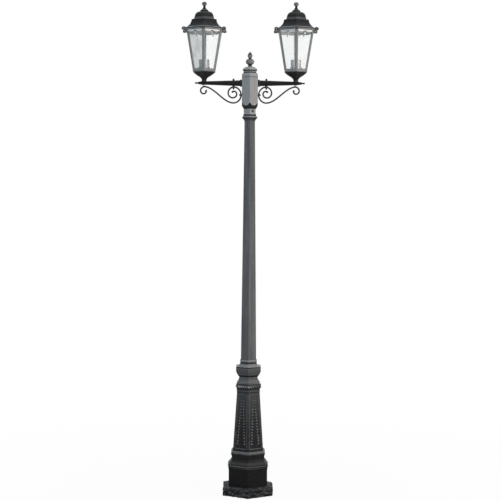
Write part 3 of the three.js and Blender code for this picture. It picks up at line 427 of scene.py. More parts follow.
def evaluated(mesh, *modifiers):
    """The mesh after some modifiers, each given as its type and settings; points keep their marks of wear
    and painted shade.
    """
    worked = placed("work", mesh)
    tools = []
    for kind, settings in modifiers:
        modifier = worked.modifiers.new(kind, kind)
        for name, value in settings.items():
            if isinstance(value, bpy.types.Mesh):
                value = placed("tool", value)
                tools.append(value)
            setattr(modifier, name, value)
    result = settled(worked)
    known = {}
    for source in [*tools, worked]:
        for vertex, mark in zip(source.data.vertices, wear_and_shading_marks(source.data)):
            known[vertex.co.to_tuple(6)] = mark.value
    for vertex, mark in zip(result.vertices, wear_and_shading_marks(result)):
        mark.value = known.get(vertex.co.to_tuple(6), mark.value)
    for done in [worked, *tools]:
        bpy.data.objects.remove(done)
    return result


def combined(mesh, operation, others):
    settings = {"operation": operation, "solver": "EXACT"}
    return evaluated(mesh, *[("BOOLEAN", {"object": other, **settings}) for other in others])


def cut(mesh, *cutters):
    """The mesh with closed meshes cut out of it."""
    return combined(mesh, "DIFFERENCE", cutters)


def bar(radius, low, high, sides=32):
    return revolved([(0, low, 0), (radius, low, 0), (radius, high, 0), (0, high, 0)], circle(sides))


def moved(mesh, x=0, y=0, z=0):
    mesh.transform(Matrix.Translation((x, y, z)))
    return mesh


def joined(*meshes):
    """Several meshes as one."""
    points, faces, wear_and_shading = [], [], []
    for mesh in meshes:
        start = len(points)
        points += [tuple(v.co) for v in mesh.vertices]
        faces += [[start + v for v in p.vertices] for p in mesh.polygons]
        wear_and_shading += [mark.value for mark in wear_and_shading_marks(mesh)] or [0] * len(mesh.vertices)
    return built(points, faces, wear_and_shading)


def piece(name, mesh, finish, slot, body, *replaced, crease=35):
    """A finished piece, smooth but for its creases, that rides on a body and stands for some nodes."""
    mesh.materials.clear()
    mesh.materials.append(finish)
    mesh.shade_smooth()
    mesh.set_sharp_from_angle(angle=math.radians(crease))
    part = placed(name, mesh)
    shading = part.modifiers.new("even_shading", "WEIGHTED_NORMAL")
    shading.keep_sharp = True
    shading.weight = 90
    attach(part, body)
    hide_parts(*replaced)
    return part


foot_black = srgb(16, 16, 17)
foot_paint = cast_finish(
    "foot_paint", foot_black, foot_black, srgb(136, 139, 142), 0, foot_height, top_rub_and_light=0.08, mottle=0.02,
    gloss=0.06)
relief_paint = cast_finish(
    "relief_paint", srgb(18, 19, 20), srgb(34, 35, 37), srgb(186, 189, 192), 0.3, 0.5, edges=1.0, top_rub_and_light=0.1,
    mottle=0.02)

plate_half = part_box("foot_casting")[1].x
plinth_z = plate_height + plate_rise
band_z = plinth_z + plinth_height
flare_z = band_z + band_height + groove_height
foot_profile = rounded([
    (0, foot_height - foot_web),
    (head_half - 2 * foot_wall, foot_height - foot_web),
    (plinth_half - foot_wall, band_z),
    (plinth_half - foot_wall, foot_floor),
    (foot_opening_half, foot_floor, 1.5),
    (foot_opening_half, 0, 1.5),
    (plate_half, 0, 2),
    *along((plate_half, 4 * mm), (plate_half, plate_height - 4 * mm), 12),
    (plate_half - 0.4 * mm, plate_height, 4),
    *along((plate_half - 5 * mm, plate_height + 0.6 * mm), (plinth_half + 6 * mm, plinth_z - 0.6 * mm), 8),
    (plinth_half, plinth_z, 4),
    (plinth_half, band_z, 0.8),
    # Painted shade under the overhanging flare: the band's foot, the groove and the flare's lip are marked
    # dark; the flare's slope turns paler upwards as painted light from above
    (plinth_half + band_out, band_z, 0.8, -0.5),
    (plinth_half + band_out, band_z + band_height / 2, 0, 0),
    (plinth_half + band_out, band_z + band_height, 1.2, 0.3),
    (plinth_half - groove_depth, band_z + band_height, 0.8, -1),
    (plinth_half - groove_depth, flare_z, 0.8, -1),
    (flare_half, flare_z, 1.4, -1),
    (flare_half, flare_z + flare_lip, 1.4, -1),
    *worn_and_shaded(bow((flare_half - 0.4 * mm, flare_z + flare_lip + 0.4 * mm),
                (head_half + 1 * mm, foot_height - 0.4 * mm), 0.04)[1:], -1, 0, 0.2),
    (head_half - 1 * mm, foot_height),
    (foot_lip_half, foot_height),
    (foot_lip_half, foot_height + foot_lip_height),
    (foot_lip_half - foot_wall, foot_height + foot_lip_height),
    (foot_lip_half - foot_wall, foot_height),
    (0, foot_height),
])
foot_mesh = revolved(foot_profile, hexagon(3.5 * mm, flat_steps=36, corner_steps=4))
for vertex, mark in zip(foot_mesh.vertices, wear_and_shading_marks(foot_mesh)):
    place = vertex.co
    across = math.hypot(place.x, place.y)
    if across < plinth_half + wave_margin or place.z > plinth_z + 1 * mm:
        continue
    spot = Vector((place.x, place.y, place.z * wave_squash)) * waves_per_metre
    lift = noise.fractal(spot, 0.7, 2.2, 4)
    push = noise.fractal(spot * ripple_scale + ripple_start, 0.8, 2.1, 4)
    vein = noise.noise(Vector((
        place.x * veins_across, place.y * veins_across, place.z * veins_upward + lift * vein_bend)))
    ridge = max(0, 1 - abs(vein) * vein_sharpness) * min(max(0.6 + 2 * push, 0), 1)
    mark.value = min(1.1 * ridge + max(lift, 0) * 0.3, 1)
    grip = min(place.z / plate_height, 1) ** 2
    outer = min(max((across - plinth_half - wave_margin) / wave_fade, 0), 1)
    place.z += wave_height * lift * grip * outer
    swell = 1 + (min(push - 0.15, 0.1) * wave_depth + ridge * vein_height - skin_recess) * outer / across
    place.x *= swell
    place.y *= swell
holes = []
for turn in anchor_turns:
    x, y = anchor_circle_radius * math.cos(turn), anchor_circle_radius * math.sin(turn)
    holes.append(moved(bar(anchor_hole_radius, -overrun, foot_floor + overrun), x, y))
    web_hole = bar(wrench_hole_radius, foot_height - foot_web - overrun, foot_height + overrun)
    holes.append(moved(web_hole, x, y))
foot_mesh = cut(foot_mesh, *holes)
piece("foot", foot_mesh, foot_paint, "black_casting", "post", "foot_casting")


def new_tree(name, **inputs):
    """A geometry tree with named number inputs, its maker, and the sockets of its inputs."""
    tree = bpy.data.node_groups.new(name, "GeometryNodeTree")
    kinds = {int: "NodeSocketInt", float: "NodeSocketFloat", bpy.types.Material: "NodeSocketMaterial"}
    tree.interface.new_socket("Geometry", in_out="INPUT", socket_type="NodeSocketGeometry")
    for label, value in inputs.items():
        socket = tree.interface.new_socket(label, in_out="INPUT", socket_type=kinds[type(value)])
        socket.default_value = value
    tree.interface.new_socket("Geometry", in_out="OUTPUT", socket_type="NodeSocketGeometry")
    maker = Maker(tree)
    maker.node("NodeGroupInput")
    entry = tree.nodes[0]
    return tree, maker, {socket.name: Socket(maker, socket) for socket in entry.outputs if socket.name}


def end_tree(maker, geometry, material):
    plain = maker.node("GeometryNodeRealizeInstances", {"Geometry": geometry})
    painted = maker.node("GeometryNodeSetMaterial", {"Geometry": plain, "Material": material})
    maker.node("NodeGroupOutput", {"Geometry": painted})


def grown(tree, **inputs):
    """The plain mesh that a geometry tree makes from some of its inputs."""
    seed = placed("seed", bpy.data.meshes.new("seed"))
    growth = seed.modifiers.new("growth", "NODES")
    growth.node_group = tree
    for item in tree.interface.items_tree:
        if item.in_out == "INPUT" and item.name in inputs:
            growth[item.identifier] = inputs[item.name]
    result = settled(seed)
    bpy.data.objects.remove(seed)
    return result


def lobe(maker, length, width, depth, segments=10, rings=7):
    """A rounded lobe, as long, wide and deep as given."""
    inputs = {"Segments": segments, "Rings": rings, "Radius": 0.5}
    ball = maker.node("GeometryNodeMeshUVSphere", inputs, "Mesh")
    size = maker.vector(X=length, Y=depth, Z=width)
    return maker.node("GeometryNodeTransform", {"Geometry": ball, "Scale": size})


def with_wear_and_shading(maker, geometry, wear_and_shading):
    inputs = {"Geometry": geometry, "Name": "wear_and_shading", "Value": wear_and_shading}
    return maker.node("GeometryNodeStoreNamedAttribute", inputs, data_type="FLOAT", domain="POINT")


# Lobes in a row round a hexagonal moulding, each turned by the same tilt
edging, maker, given = new_tree(
    "lobed_edging", Half=0.1, Height=0.1, Count=60, Length=0.01, Width=0.01, Depth=0.01, Tilt=0.0,
    Finish=foot_paint)
path = maker.node("GeometryNodeCurvePrimitiveCircle", {
    "Resolution": 6, "Radius": given["Half"] * (1 / cos30)}, "Curve")
path = maker.node("GeometryNodeTransform", {
    "Geometry": path, "Translation": maker.vector(Z=given["Height"]), "Rotation": (0, 0, math.radians(30))})
spots = maker.node(
    "GeometryNodeCurveToPoints", {"Curve": path, "Count": given["Count"]}, "Points", mode="COUNT")
tangent = Socket(maker, spots.socket.node.outputs["Tangent"])
facing = maker.node(
    "FunctionNodeAlignRotationToVector", {"Vector": tangent}, "Rotation", axis="X", pivot_axis="Z")
facing = maker.node("FunctionNodeRotateRotation", {
    "Rotation": facing, "Rotate By": maker.vector(Y=given["Tilt"])}, "Rotation", rotation_space="LOCAL")
# Painted highlight: the upper side of each lobe is marked as lit, and the paint turns paler there
lit_side = (maker.axis(maker.node("GeometryNodeInputPosition"), "Z") / given["Width"]).span(-0.1, 0.35)
shape = with_wear_and_shading(maker, lobe(maker, given["Length"], given["Width"], given["Depth"]), lit_side)
row = maker.node("GeometryNodeInstanceOnPoints", {"Points": spots, "Instance": shape, "Rotation": facing})
end_tree(maker, row, given["Finish"])

flare_side = 2 * flare_half * tan30
beads = grown(
    edging, Half=flare_half - bead_inset, Height=flare_z + flare_lip,
    Count=6 * round(flare_side / bead_spacing),
    Length=2 * bead_radius, Width=2 * bead_radius, Depth=2 * bead_radius, Finish=relief_paint)
piece("foot_beads", beads, relief_paint, "black_casting", "post")

# Pedestal. A hollow casting that stands on the foot: a small cavetto, a torus, a tapering column with a
# sunk panel in each face, and a bead with rope lobes. Each panel holds a spray of leaves in V rows.
cavetto_height = 27 * mm
torus_low_half = 77 * mm
torus_high_half = 71.3 * mm
torus_height = 22 * mm
column_low_half = 70.8 * mm
column_high_half = 53 * mm
column_height = 278 * mm
bead_half = 57.5 * mm
pedestal_wall = 6 * mm
panel_stile = 9 * mm
panel_rail = 11 * mm
panel_step = 1.3 * mm
panel_depth = 2.5 * mm
panel_ledge = 3.4 * mm
leaf_rows = 16
leaf_width = 3.4 * mm
leaf_depth = 5 * mm
leaf_slope = math.radians(42)
spray_low = 19 * mm
spray_length = 214 * mm
spray_low_half = 24 * mm
spray_high_half = 5 * mm
rope_drop = 5 * mm
rope_spacing = 15 * mm
rope_inset = 2 * mm
rope_lobe_length = 17 * mm
rope_lobe_width = 7 * mm
rope_lobe_depth = 8 * mm
rope_tilt = math.radians(45)

pedestal_paint = cast_finish(
    "pedestal_paint", srgb(12, 12, 13), srgb(68, 71, 73), srgb(150, 153, 156), foot_height + 140 * mm,
    foot_height + 380 * mm, edges=0.5, top_rub_and_light=0.25, mottle=0.04)
pedestal_low, pedestal_high = (corner.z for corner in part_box("pedestal_casting"))
torus_z = pedestal_low + cavetto_height
column_z = torus_z + torus_height
bead_z = column_z + column_height
panel_low = column_z + panel_rail
panel_high = bead_z - panel_rail


def panelled(corner):
    """The column's section: as a hexagon, but each flat steps down twice to a sunk panel."""
    plain = hexagon(corner)

    def ring(half, height):
        outline = plain(half, height)
        count = len(outline) // 6
        inset = min(height - panel_low, panel_high - height)
        first, second = (min(max(start / panel_step, 0), 1) for start in (inset, inset - panel_ledge))
        near = panel_step * first
        far = near + (panel_depth - panel_step) * second
        half_side = half * tan30 - panel_stile
        floor_edge = half_side - panel_ledge - panel_step
        rim = 0.7 * first if not second else 0
        stops = [(half_side, 0, 0.5 * first), (half_side - panel_step, near, -first),
                 (half_side - panel_ledge, near, 0.7 * first), (floor_edge, far, rim or -second),
                 (floor_edge - panel_step, far, rim)]
        points = []
        for side in range(6):
            points += outline[side * count:(side + 1) * count]
            facing = math.radians(60 * side - 60)
            out = Vector((math.cos(facing), math.sin(facing)))
            across = Vector((-out.y, out.x))
            for place, depth, edge in [(-p, d, e) for p, d, e in stops] + stops[::-1]:
                spot = out * (half - depth) + across * place
                points.append((spot.x, spot.y, edge))
        return points
    return ring


def column_half(height):
    return column_low_half + (column_high_half - column_low_half) * (height - column_z) / column_height


steps_up = (0, panel_step, panel_ledge, panel_ledge + panel_step)
column_stops = [panel_low + step for step in steps_up]
column_stops += [panel_high + panel_low - stop for stop in reversed(column_stops)]
pedestal_profile = rounded([
    (head_half, pedestal_low),
    # Painted shade on the cavetto and the foot of the torus, and painted light from above on the torus's
    # top
    *worn_and_shaded(bow((head_half, pedestal_low + band_out), (torus_low_half, torus_z), -0.1), -0.7),
    *worn_and_shaded(bow((torus_low_half, torus_z), (torus_high_half, column_z), 0.22, 10)[1:],
            -0.6, -0.4, -0.2, 0.2, 0.5),
    (column_low_half, column_z, 0.8, -1),
    (column_half(column_z + 4 * mm), column_z + 4 * mm),
    *[(column_half(stop), stop) for stop in column_stops],
    # Painted shade in the lines round the bead and behind the rope
    (column_high_half, bead_z, 0, -1),
    *[(column_high_half + out * mm, bead_z + up * mm, 0, wear_and_shading)
      for out, up, wear_and_shading in ((1.5, 1, 0.2), (1.5, 7, 0.2), (0.5, 8, -1), (0.5, 11, -1))],
    *worn_and_shaded(bow((column_high_half + 1 * mm, bead_z + 12 * mm),
                (column_high_half + 1 * mm, pedestal_high), 0.08, 10), -1),
    (column_high_half - pedestal_wall, pedestal_high),
    (column_high_half - pedestal_wall, bead_z),
    (column_low_half - pedestal_wall, column_z),
    (column_low_half - pedestal_wall, pedestal_low),
])
piece("pedestal", revolved(pedestal_profile, panelled(3 * mm)), pedestal_paint, "black_casting", "post",
      "pedestal_casting", crease=28)

# A spray of leaves on each panel: every row has a leaf on either side, which rises outwards, is shorter
# further up and has a rubbed outer end
spray, maker, given = new_tree(
    "leaf_spray", Rows=leaf_rows, Length=0.2, Foot=0.02, Head=0.003, Slope=1.0, Width=0.005, Depth=0.004,
    Half=0.07, Low=0.2, Lean=0.06, Rub=1.0, Finish=pedestal_paint)
grid = maker.node("GeometryNodeMeshGrid", {
    "Size X": 2.0, "Size Y": 1.0, "Vertices X": 2, "Vertices Y": given["Rows"]}, "Mesh")
index = maker.node("GeometryNodeInputIndex")
column = index.maths("FLOOR", index / given["Rows"])
side = column * 2 - 1
row = (index - column * given["Rows"]) / (given["Rows"] - 1)
reach = given["Foot"] + (given["Head"] - given["Foot"]) * row
rise = row * given["Length"] + reach * 0.5 * given["Slope"].maths("TANGENT", given["Slope"])
spots = maker.node("GeometryNodeSetPosition", {
    "Geometry": grid, "Position": maker.vector(X=side * reach * 0.5, Y=rise)})
along_leaf = maker.axis(maker.node("GeometryNodeInputPosition"), "X").span(0.12, 0.25)
leaf = with_wear_and_shading(maker, lobe(maker, 1.0, given["Depth"], given["Width"]), along_leaf * given["Rub"])
frond = maker.node("GeometryNodeInstanceOnPoints", {
    "Points": spots,
    "Instance": leaf,
    "Rotation": maker.vector(Z=(1 - side) * (math.pi / 2) + side * given["Slope"]),
    "Scale": maker.vector(X=reach / given["Slope"].maths("COSINE", given["Slope"]), Y=1.0, Z=1.0),
})
frond = maker.node("GeometryNodeTransform", {
    "Geometry": frond,
    "Translation": maker.vector(Y=0 - given["Half"], Z=given["Low"]),
    "Rotation": maker.vector(X=math.pi / 2 - given["Lean"]),
})
middles = maker.node("GeometryNodeMeshLine", {"Count": 6, "Offset": (0, 0, 0)})
turn = maker.vector(Z=(maker.node("GeometryNodeInputIndex") + 0.5) * math.radians(60))
fronds = maker.node(
    "GeometryNodeInstanceOnPoints", {"Points": middles, "Instance": frond, "Rotation": turn})
end_tree(maker, fronds, given["Finish"])

leaves = grown(
    spray, Length=spray_length, Foot=spray_low_half, Head=spray_high_half, Slope=leaf_slope,
    Width=leaf_width, Depth=leaf_depth,
    Half=column_half(column_z + spray_low) - panel_depth, Low=column_z + spray_low,
    Lean=math.atan2(column_low_half - column_high_half, column_height), Finish=relief_paint)
piece("pedestal_leaves", leaves, relief_paint, "black_casting", "post")
bead_side = 2 * bead_half * tan30
rope = grown(
    edging, Half=bead_half - rope_inset, Height=pedestal_high - rope_drop,
    Count=6 * round(bead_side / rope_spacing * 1.2), Length=rope_lobe_length, Width=rope_lobe_width,
    Depth=rope_lobe_depth, Tilt=rope_tilt, Finish=relief_paint)
piece("pedestal_rope", rope, relief_paint, "black_casting", "post")


# Collar. A casting that holds the foot of the shaft: a lip, a flared neck, a bulb, a cone and a ring. It
# is set on the pedestal with a short spigot, and painted a lighter grey.
collar_lip_half = 54 * mm
collar_lip_height = 11 * mm
collar_shoulder = 1.5 * mm
collar_neck_half = 43 * mm
collar_flare_height = 29 * mm
bulb_half = 58 * mm
bulb_rise = 28 * mm
bulb_wall = 15 * mm
bulb_height = 50 * mm
cone_low_half = 44.5 * mm
cone_high_half = 37.5 * mm
cone_height = 16 * mm
collar_wall = 6 * mm
seat_gap = 0.3 * mm

collar_paint = cast_finish(
    "collar_paint", srgb(66, 69, 71), srgb(72, 75, 77), srgb(150, 153, 156), 0.5, 0.63, shade_strength=0.95,
    mottle=0.06)
spigot_low, collar_high = (corner.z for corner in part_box("collar_casting"))
collar_low = pedestal_high + seat_gap
lip_z = collar_low + collar_lip_height
bulb_z = lip_z + collar_flare_height
cone_z = bulb_z + bulb_height
ring_z = cone_z + cone_height
shaft_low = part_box("shaft_casting")[0].z
shaft_foot_half = 35.75 * mm
socket_half = shaft_foot_half + seat_gap
spigot_half = column_high_half - pedestal_wall - seat_gap
collar_profile = rounded([
    (collar_neck_half - collar_wall, spigot_low),
    (spigot_half, spigot_low),
    (spigot_half, collar_low),
    # Painted shade under the lip, on the flare, on the bulb's underside, in the dark line round the bulb's
    # band and at the ring's foot; the cone's slope is paler, painted light from above with rubbed paint
    (collar_lip_half, collar_low, 0.6, -0.6),
    (collar_lip_half - 1 * mm, lip_z - 1.5 * mm, 0, -0.3),
    (collar_lip_half, lip_z - 1 * mm, 0.5, 0.7),
    (collar_lip_half, lip_z + 1 * mm, 0.8, 0.7),
    *worn_and_shaded(bow((collar_lip_half - collar_shoulder, lip_z + 1 * mm), (collar_neck_half, bulb_z), -0.1),
            -1, 0.2),
    *worn_and_shaded(bow((collar_neck_half, bulb_z), (bulb_half, bulb_z + bulb_rise), 0.06), -1, -1, -1, 0),
    (bulb_half, bulb_z + bulb_rise + bulb_wall, 1, 0.2),
    (bulb_half - 1.2 * mm, cone_z - 7.6 * mm, 0, -1),
    (bulb_half - 1.2 * mm, cone_z - 3.6 * mm, 0, -1),
    (bulb_half - 0.8 * mm, cone_z - 3 * mm, 0, 0.6),
    (bulb_half - collar_shoulder, cone_z, 0.8, 0.8),
    *worn_and_shaded(bow((cone_low_half, cone_z), (cone_high_half, ring_z), -0.08),
            0.4, 0.6, 0.6, 0.6, 0.6, 0.3, -0.2, -1),
    *worn_and_shaded(bow((cone_high_half, ring_z), (cone_high_half, collar_high), 0.15), -1, -1, 0.3, 0.8),
    (socket_half, collar_high, 0.6, 0),
    (socket_half, shaft_low - seat_gap),
    (socket_half - collar_wall, shaft_low - seat_gap),
    (socket_half - collar_wall, shaft_low - collar_wall),
    (bulb_half - 2 * collar_wall, bulb_z + bulb_rise),
    (collar_neck_half - collar_wall, bulb_z),
])
piece("collar", revolved(collar_profile, hexagon(2.5 * mm)), collar_paint, "grey_casting", "post",
      "collar_casting", crease=28)


# Shaft. A long tapering hexagonal tube with a moulded crown and a round spigot that goes up into the hub.
# Its grey paint is drawn in upright streaks.
shaft_head_half = 24.25 * mm
shaft_length = 1143 * mm
shaft_wall = 4.5 * mm
crown_half = 35.5 * mm
crown_cove = 20 * mm
crown_lip = 3.5 * mm
crown_slope = 5 * mm
neck_foot_half = 29.75 * mm
shaft_spigot_radius = 19 * mm
shaft_spigot_wall = 5 * mm
shaft_web = 10 * mm
tie_hole_radius = 8.3 * mm

shaft_paint = cast_finish(
    "shaft_paint", srgb(74, 77, 79), srgb(71, 74, 77), srgb(140, 143, 146), shaft_low,
    shaft_low + shaft_length, streaks=0.35, shade_strength=0.95)
crown_z = shaft_low + shaft_length
crown_lip_z = crown_z + crown_cove
shaft_top = crown_lip_z + crown_lip + crown_slope
shaft_spigot_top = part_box("shaft_casting")[1].z
bore = shaft_spigot_radius - shaft_spigot_wall
shaft_profile = rounded([
    (shaft_foot_half - shaft_wall, shaft_low),
    (shaft_foot_half, shaft_low),
    *along((shaft_foot_half, collar_high + 1 * mm), (shaft_head_half, crown_z), 24),
    # Painted shade: the cove darkens upwards into the shade under the crown's lip
    *worn_and_shaded(bow((shaft_head_half, crown_z), (crown_half, crown_lip_z), -0.12)[1:-1],
            0, -0.2, -0.4, -0.6, -0.8),
    (crown_half, crown_lip_z, 0.7, -0.6),
    (crown_half, crown_lip_z + crown_lip, 1, 1),
    (neck_foot_half + 0.5 * mm, shaft_top, 0, 0.4),
    (bore, shaft_top),
    (bore, crown_z),
    (shaft_head_half - shaft_wall, crown_z - crown_cove),
])
shaft_spigot_profile = [
    (0, shaft_spigot_top - shaft_web, 0),
    (bore, shaft_spigot_top - shaft_web, 0),
    (bore, crown_z + 1 * mm, 0),
    (shaft_spigot_radius, crown_z + 1 * mm, 0),
    (shaft_spigot_radius, shaft_spigot_top, 0),
    (0, shaft_spigot_top, 0),
]
tie_hole = bar(tie_hole_radius, shaft_spigot_top - 2 * shaft_web, shaft_spigot_top + shaft_web)
shaft_spigot = cut(revolved(shaft_spigot_profile, circle()), tie_hole)
shaft_mesh = joined(revolved(shaft_profile, hexagon(2.2 * mm)), shaft_spigot)
piece("shaft", shaft_mesh, shaft_paint, "grey_casting", "post", "shaft_casting", crease=28)


# Small steel. Zinc-plated nuts, screws and tubes: a grey, slightly mottled metal. Those of the tie and of
# the stems keep their solids.
material, maker, place = new_finish("zinc")
spangle = maker.node("ShaderNodeTexVoronoi", {"Vector": place, "Scale": 420.0}, "Color")
spangle = maker.node("ShaderNodeSeparateColor", {"Color": spangle}, "Red")
scuffs = speckle(maker, place, 260, 3.0)
colour = mixed(maker, spangle * 0.4 + scuffs * 0.4, srgb(118, 121, 124), srgb(176, 179, 181))
zinc = coated(material, maker, colour, scuffs * 0.25 + 0.26, scuffs, 0.2, 0.2, {"Metallic": 0.9})


def keep(finish, *names):
    """Gives a finish to solids that stay as they are."""
    for name in names:
        nodes[name].data.materials.clear()
        nodes[name].data.materials.append(finish)


keep(zinc, "tie_tube", "tie_nut_lower", "tie_nut_upper")

# Hub. The casting at the head of the post: a neck, and a hexagonal wiring box whose lower end is turned
# to a round bowl, so that each flat ends in a tongue. Its paint is a lighter grey, rubbed bright, with
# painted shade on the bowl, at the neck's foot and in the counterbores of the set screws.
hub_half = 37.25 * mm
hub_wall = 5 * mm
neck_half = 27.25 * mm
neck_foot_height = 14 * mm
neck_cove = 5 * mm
neck_height = 30 * mm
box_floor = 34 * mm
bowl_foot_radius = 26.5 * mm
bowl_height = 39 * mm
cable_way_radius = 15 * mm
arm_root_hole = 9.3 * mm
screw_hole = 2.8 * mm
set_screw_hole = 4.3 * mm
spot_face_radius = 6.2 * mm

hub_paint = cast_finish(
    "hub_paint", srgb(146, 150, 153), srgb(144, 148, 151), srgb(198, 200, 201), 1.79, 1.82, top_rub_and_light=0.35,
    shade_strength=0.95)
hub_low, hub_high = (corner.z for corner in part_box("hub_casting"))
bowl_z = hub_low + neck_height
arm_z = sum(corner.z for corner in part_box("right_arm_tip")) / 2
hub_corner = hub_half / cos30
bowl_line = bow((bowl_foot_radius, bowl_z), (hub_corner, bowl_z + bowl_height), 0.06, 26)


def tongued(sides=192, edge_power=200, bowl_power=70):
    """The section of the hub: a hexagon and a circle, whichever is nearer the axis, with a soft edge."""
    def ring(half, height):
        points = []
        for step in range(sides):
            turn = 2 * math.pi * step / sides
            flats = [max(math.cos(turn - math.radians(60 * side)), 0) / hub_half for side in range(6)]
            straight = sum(flat ** edge_power for flat in flats)
            round_share = (hub_half / half) ** bowl_power if half else 0
            flat_share = (straight ** (1 / edge_power) * hub_half) ** bowl_power
            reach = hub_half * (flat_share + round_share) ** (-1 / bowl_power)
            bevel = 0.5 * max(0, 1 - abs(math.log(flat_share / max(round_share, 1e-9))) / 3)
            # The round bowl is marked -1, painted shade on its underside; the tongues' edges are marked as
            # rubbed
            shade = -1 if round_share > 4 * flat_share else 0
            points.append((reach * math.cos(turn), reach * math.sin(turn), shade or bevel))
        return points
    return ring


beyond = 4 * hub_corner
box_line = along((beyond, bowl_z + bowl_height + 1 * mm), (beyond, hub_high - 3 * mm), 8)
hub_shell = [(0, bowl_z + 0.5 * mm, 0), (bowl_foot_radius - 1 * mm, bowl_z + 0.5 * mm, 0)]
hub_shell += [(half, height, 0) for half, height in bowl_line + box_line]
hub_shell += [(beyond, hub_high - 1 * mm, -0.5), (beyond, hub_high, -0.5), (0, hub_high, 0)]
neck_profile = rounded([
    (0, hub_low),
    # Painted shade: the neck's foot is marked dark, a shadow line above the crown
    (neck_foot_half, hub_low, 0.8, -1),
    (neck_foot_half, hub_low + neck_cove + 1 * mm, 0, -1),
    (neck_foot_half, hub_low + neck_cove + 2 * mm, 0, 0.3),
    (neck_foot_half, hub_low + neck_foot_height - neck_cove, 1, 0.3),
    *bow((neck_foot_half - 1 * mm, hub_low + neck_foot_height - neck_cove),
         (neck_half, hub_low + neck_foot_height), -0.12)[1:],
    (neck_half, bowl_z - 2 * mm),
    (neck_half, bowl_z + 1.5 * mm),
    (0, bowl_z + 1.5 * mm),
])


def welded(mesh, *others):
    """The mesh made one with other closed meshes."""
    return combined(mesh, "UNION", others)


def laid(mesh, turn, height):
    """Lays what was built upright so that its axis points outwards, turned from the right-hand side."""
    lay = Matrix.Rotation(turn, 4, "Z") @ Matrix.Rotation(math.pi / 2, 4, "Y")
    mesh.transform(Matrix.Translation((0, 0, height)) @ lay)
    return mesh


bar_radius = 3.7 * mm
scroll_drop = 91.7 * mm
set_screw_z = hub_low + neck_foot_height + (neck_height - neck_foot_height) / 2
set_screw_turns = [math.radians(turn) for turn in (-60, 60, 180)]
wall_screw_z = sum(corner.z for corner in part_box("right_scroll_wall_screw")) / 2
box_half = hub_half - hub_wall
box_profile = [(0, bowl_z + box_floor, 0), (box_half, bowl_z + box_floor, 0),
               (box_half, hub_high + hub_wall, 0), (0, hub_high + hub_wall, 0)]
seat_face = neck_half - 0.6 * mm
# The counterbore round each set screw is marked dark: painted shade in the recess
spot_face_profile = [(0, 0, 0), (set_screw_hole, 0, 0), (set_screw_hole, seat_face, -1),
                     (spot_face_radius, seat_face, -1), (spot_face_radius, hub_half, -1), (0, hub_half, 0)]
hub_cutters = [
    revolved(box_profile, hexagon(1 * mm)),
    bar(shaft_spigot_radius + seat_gap, hub_low - hub_wall, shaft_spigot_top + seat_gap, 48),
    bar(cable_way_radius, hub_low, bowl_z + box_floor + hub_wall, 48),
]
through = hub_half - 2 * hub_wall, hub_half + hub_wall
for turn in (0, math.pi):
    hub_cutters.append(laid(bar(arm_root_hole, *through), turn, arm_z))
    hub_cutters.append(laid(bar(screw_hole, *through), turn, wall_screw_z))
for turn in set_screw_turns:
    hub_cutters.append(laid(revolved(spot_face_profile, circle(36)), turn, set_screw_z))
hub_mesh = welded(revolved(hub_shell, tongued()), revolved(neck_profile, hexagon(2 * mm)))
hub_mesh = cut(hub_mesh, *hub_cutters)
piece("hub", hub_mesh, hub_paint, "light_casting", "post", "hub_casting", crease=30)


# Set screws. Three black socket screws that hold the neck on the shaft's spigot. Their steel has a dark
# scale with faint marks in it.
set_screw_radius = 4 * mm
set_screw_proud = 1.2 * mm
set_screw_socket = 2 * mm

material, maker, place = new_finish("black_steel")
scale_marks = speckle(maker, place, 180, 4.0)
grain = speckle(maker, place, 1300, 2.0)
wear_and_shading = maker.mark("wear_and_shading").span(0.05, 1.0)
colour = mixed(maker, scale_marks.span(0.35, 0.75) * 0.6 + wear_and_shading * 0.3, srgb(17, 18, 19), srgb(52, 54, 56))
black_steel = coated(material, maker, colour, scale_marks * 0.2 + 0.3, grain + scale_marks, 0.25, 0.2,
                     {"Metallic": 0.0, "Specular IOR Level": 0.35})
set_screw_foot = shaft_spigot_radius + seat_gap
set_screw_head = neck_half + set_screw_proud
set_screw_profile = rounded([
    (0, set_screw_foot),
    (set_screw_radius, set_screw_foot),
    (set_screw_radius, set_screw_head, 0.5),
    (set_screw_socket, set_screw_head, 0.2),
    (set_screw_socket, set_screw_head - set_screw_radius),
    (0, set_screw_head - set_screw_radius),
])
for i, turn in enumerate(set_screw_turns):
    screw = laid(revolved(set_screw_profile, circle(36)), turn, set_screw_z)
    piece(f"set_screw_{i + 1}", screw, black_steel, "zinc_steel", "post", f"neck_set_screw_{i + 1}")


# Hub lid. A stepped cast hood that closes the wiring box, with a spigot that drops into it.
lid_body_height = 12 * mm
lid_chamfer_height = 9 * mm
lid_chamfer_half = 30.5 * mm
lid_groove_half = 26.5 * mm
lid_groove_height = 3 * mm
lid_neck_height = 1.7 * mm
lid_plate_half = 28.5 * mm
lid_plate_height = 3.5 * mm
lid_bead_half = 32 * mm
lid_bead_height = 10.5 * mm
lid_bead_swell = 0.15
lid_hood_height = 9.5 * mm
lid_wall = 5 * mm
finial_neck_radius = 9.4 * mm
stud_radius = 3 * mm

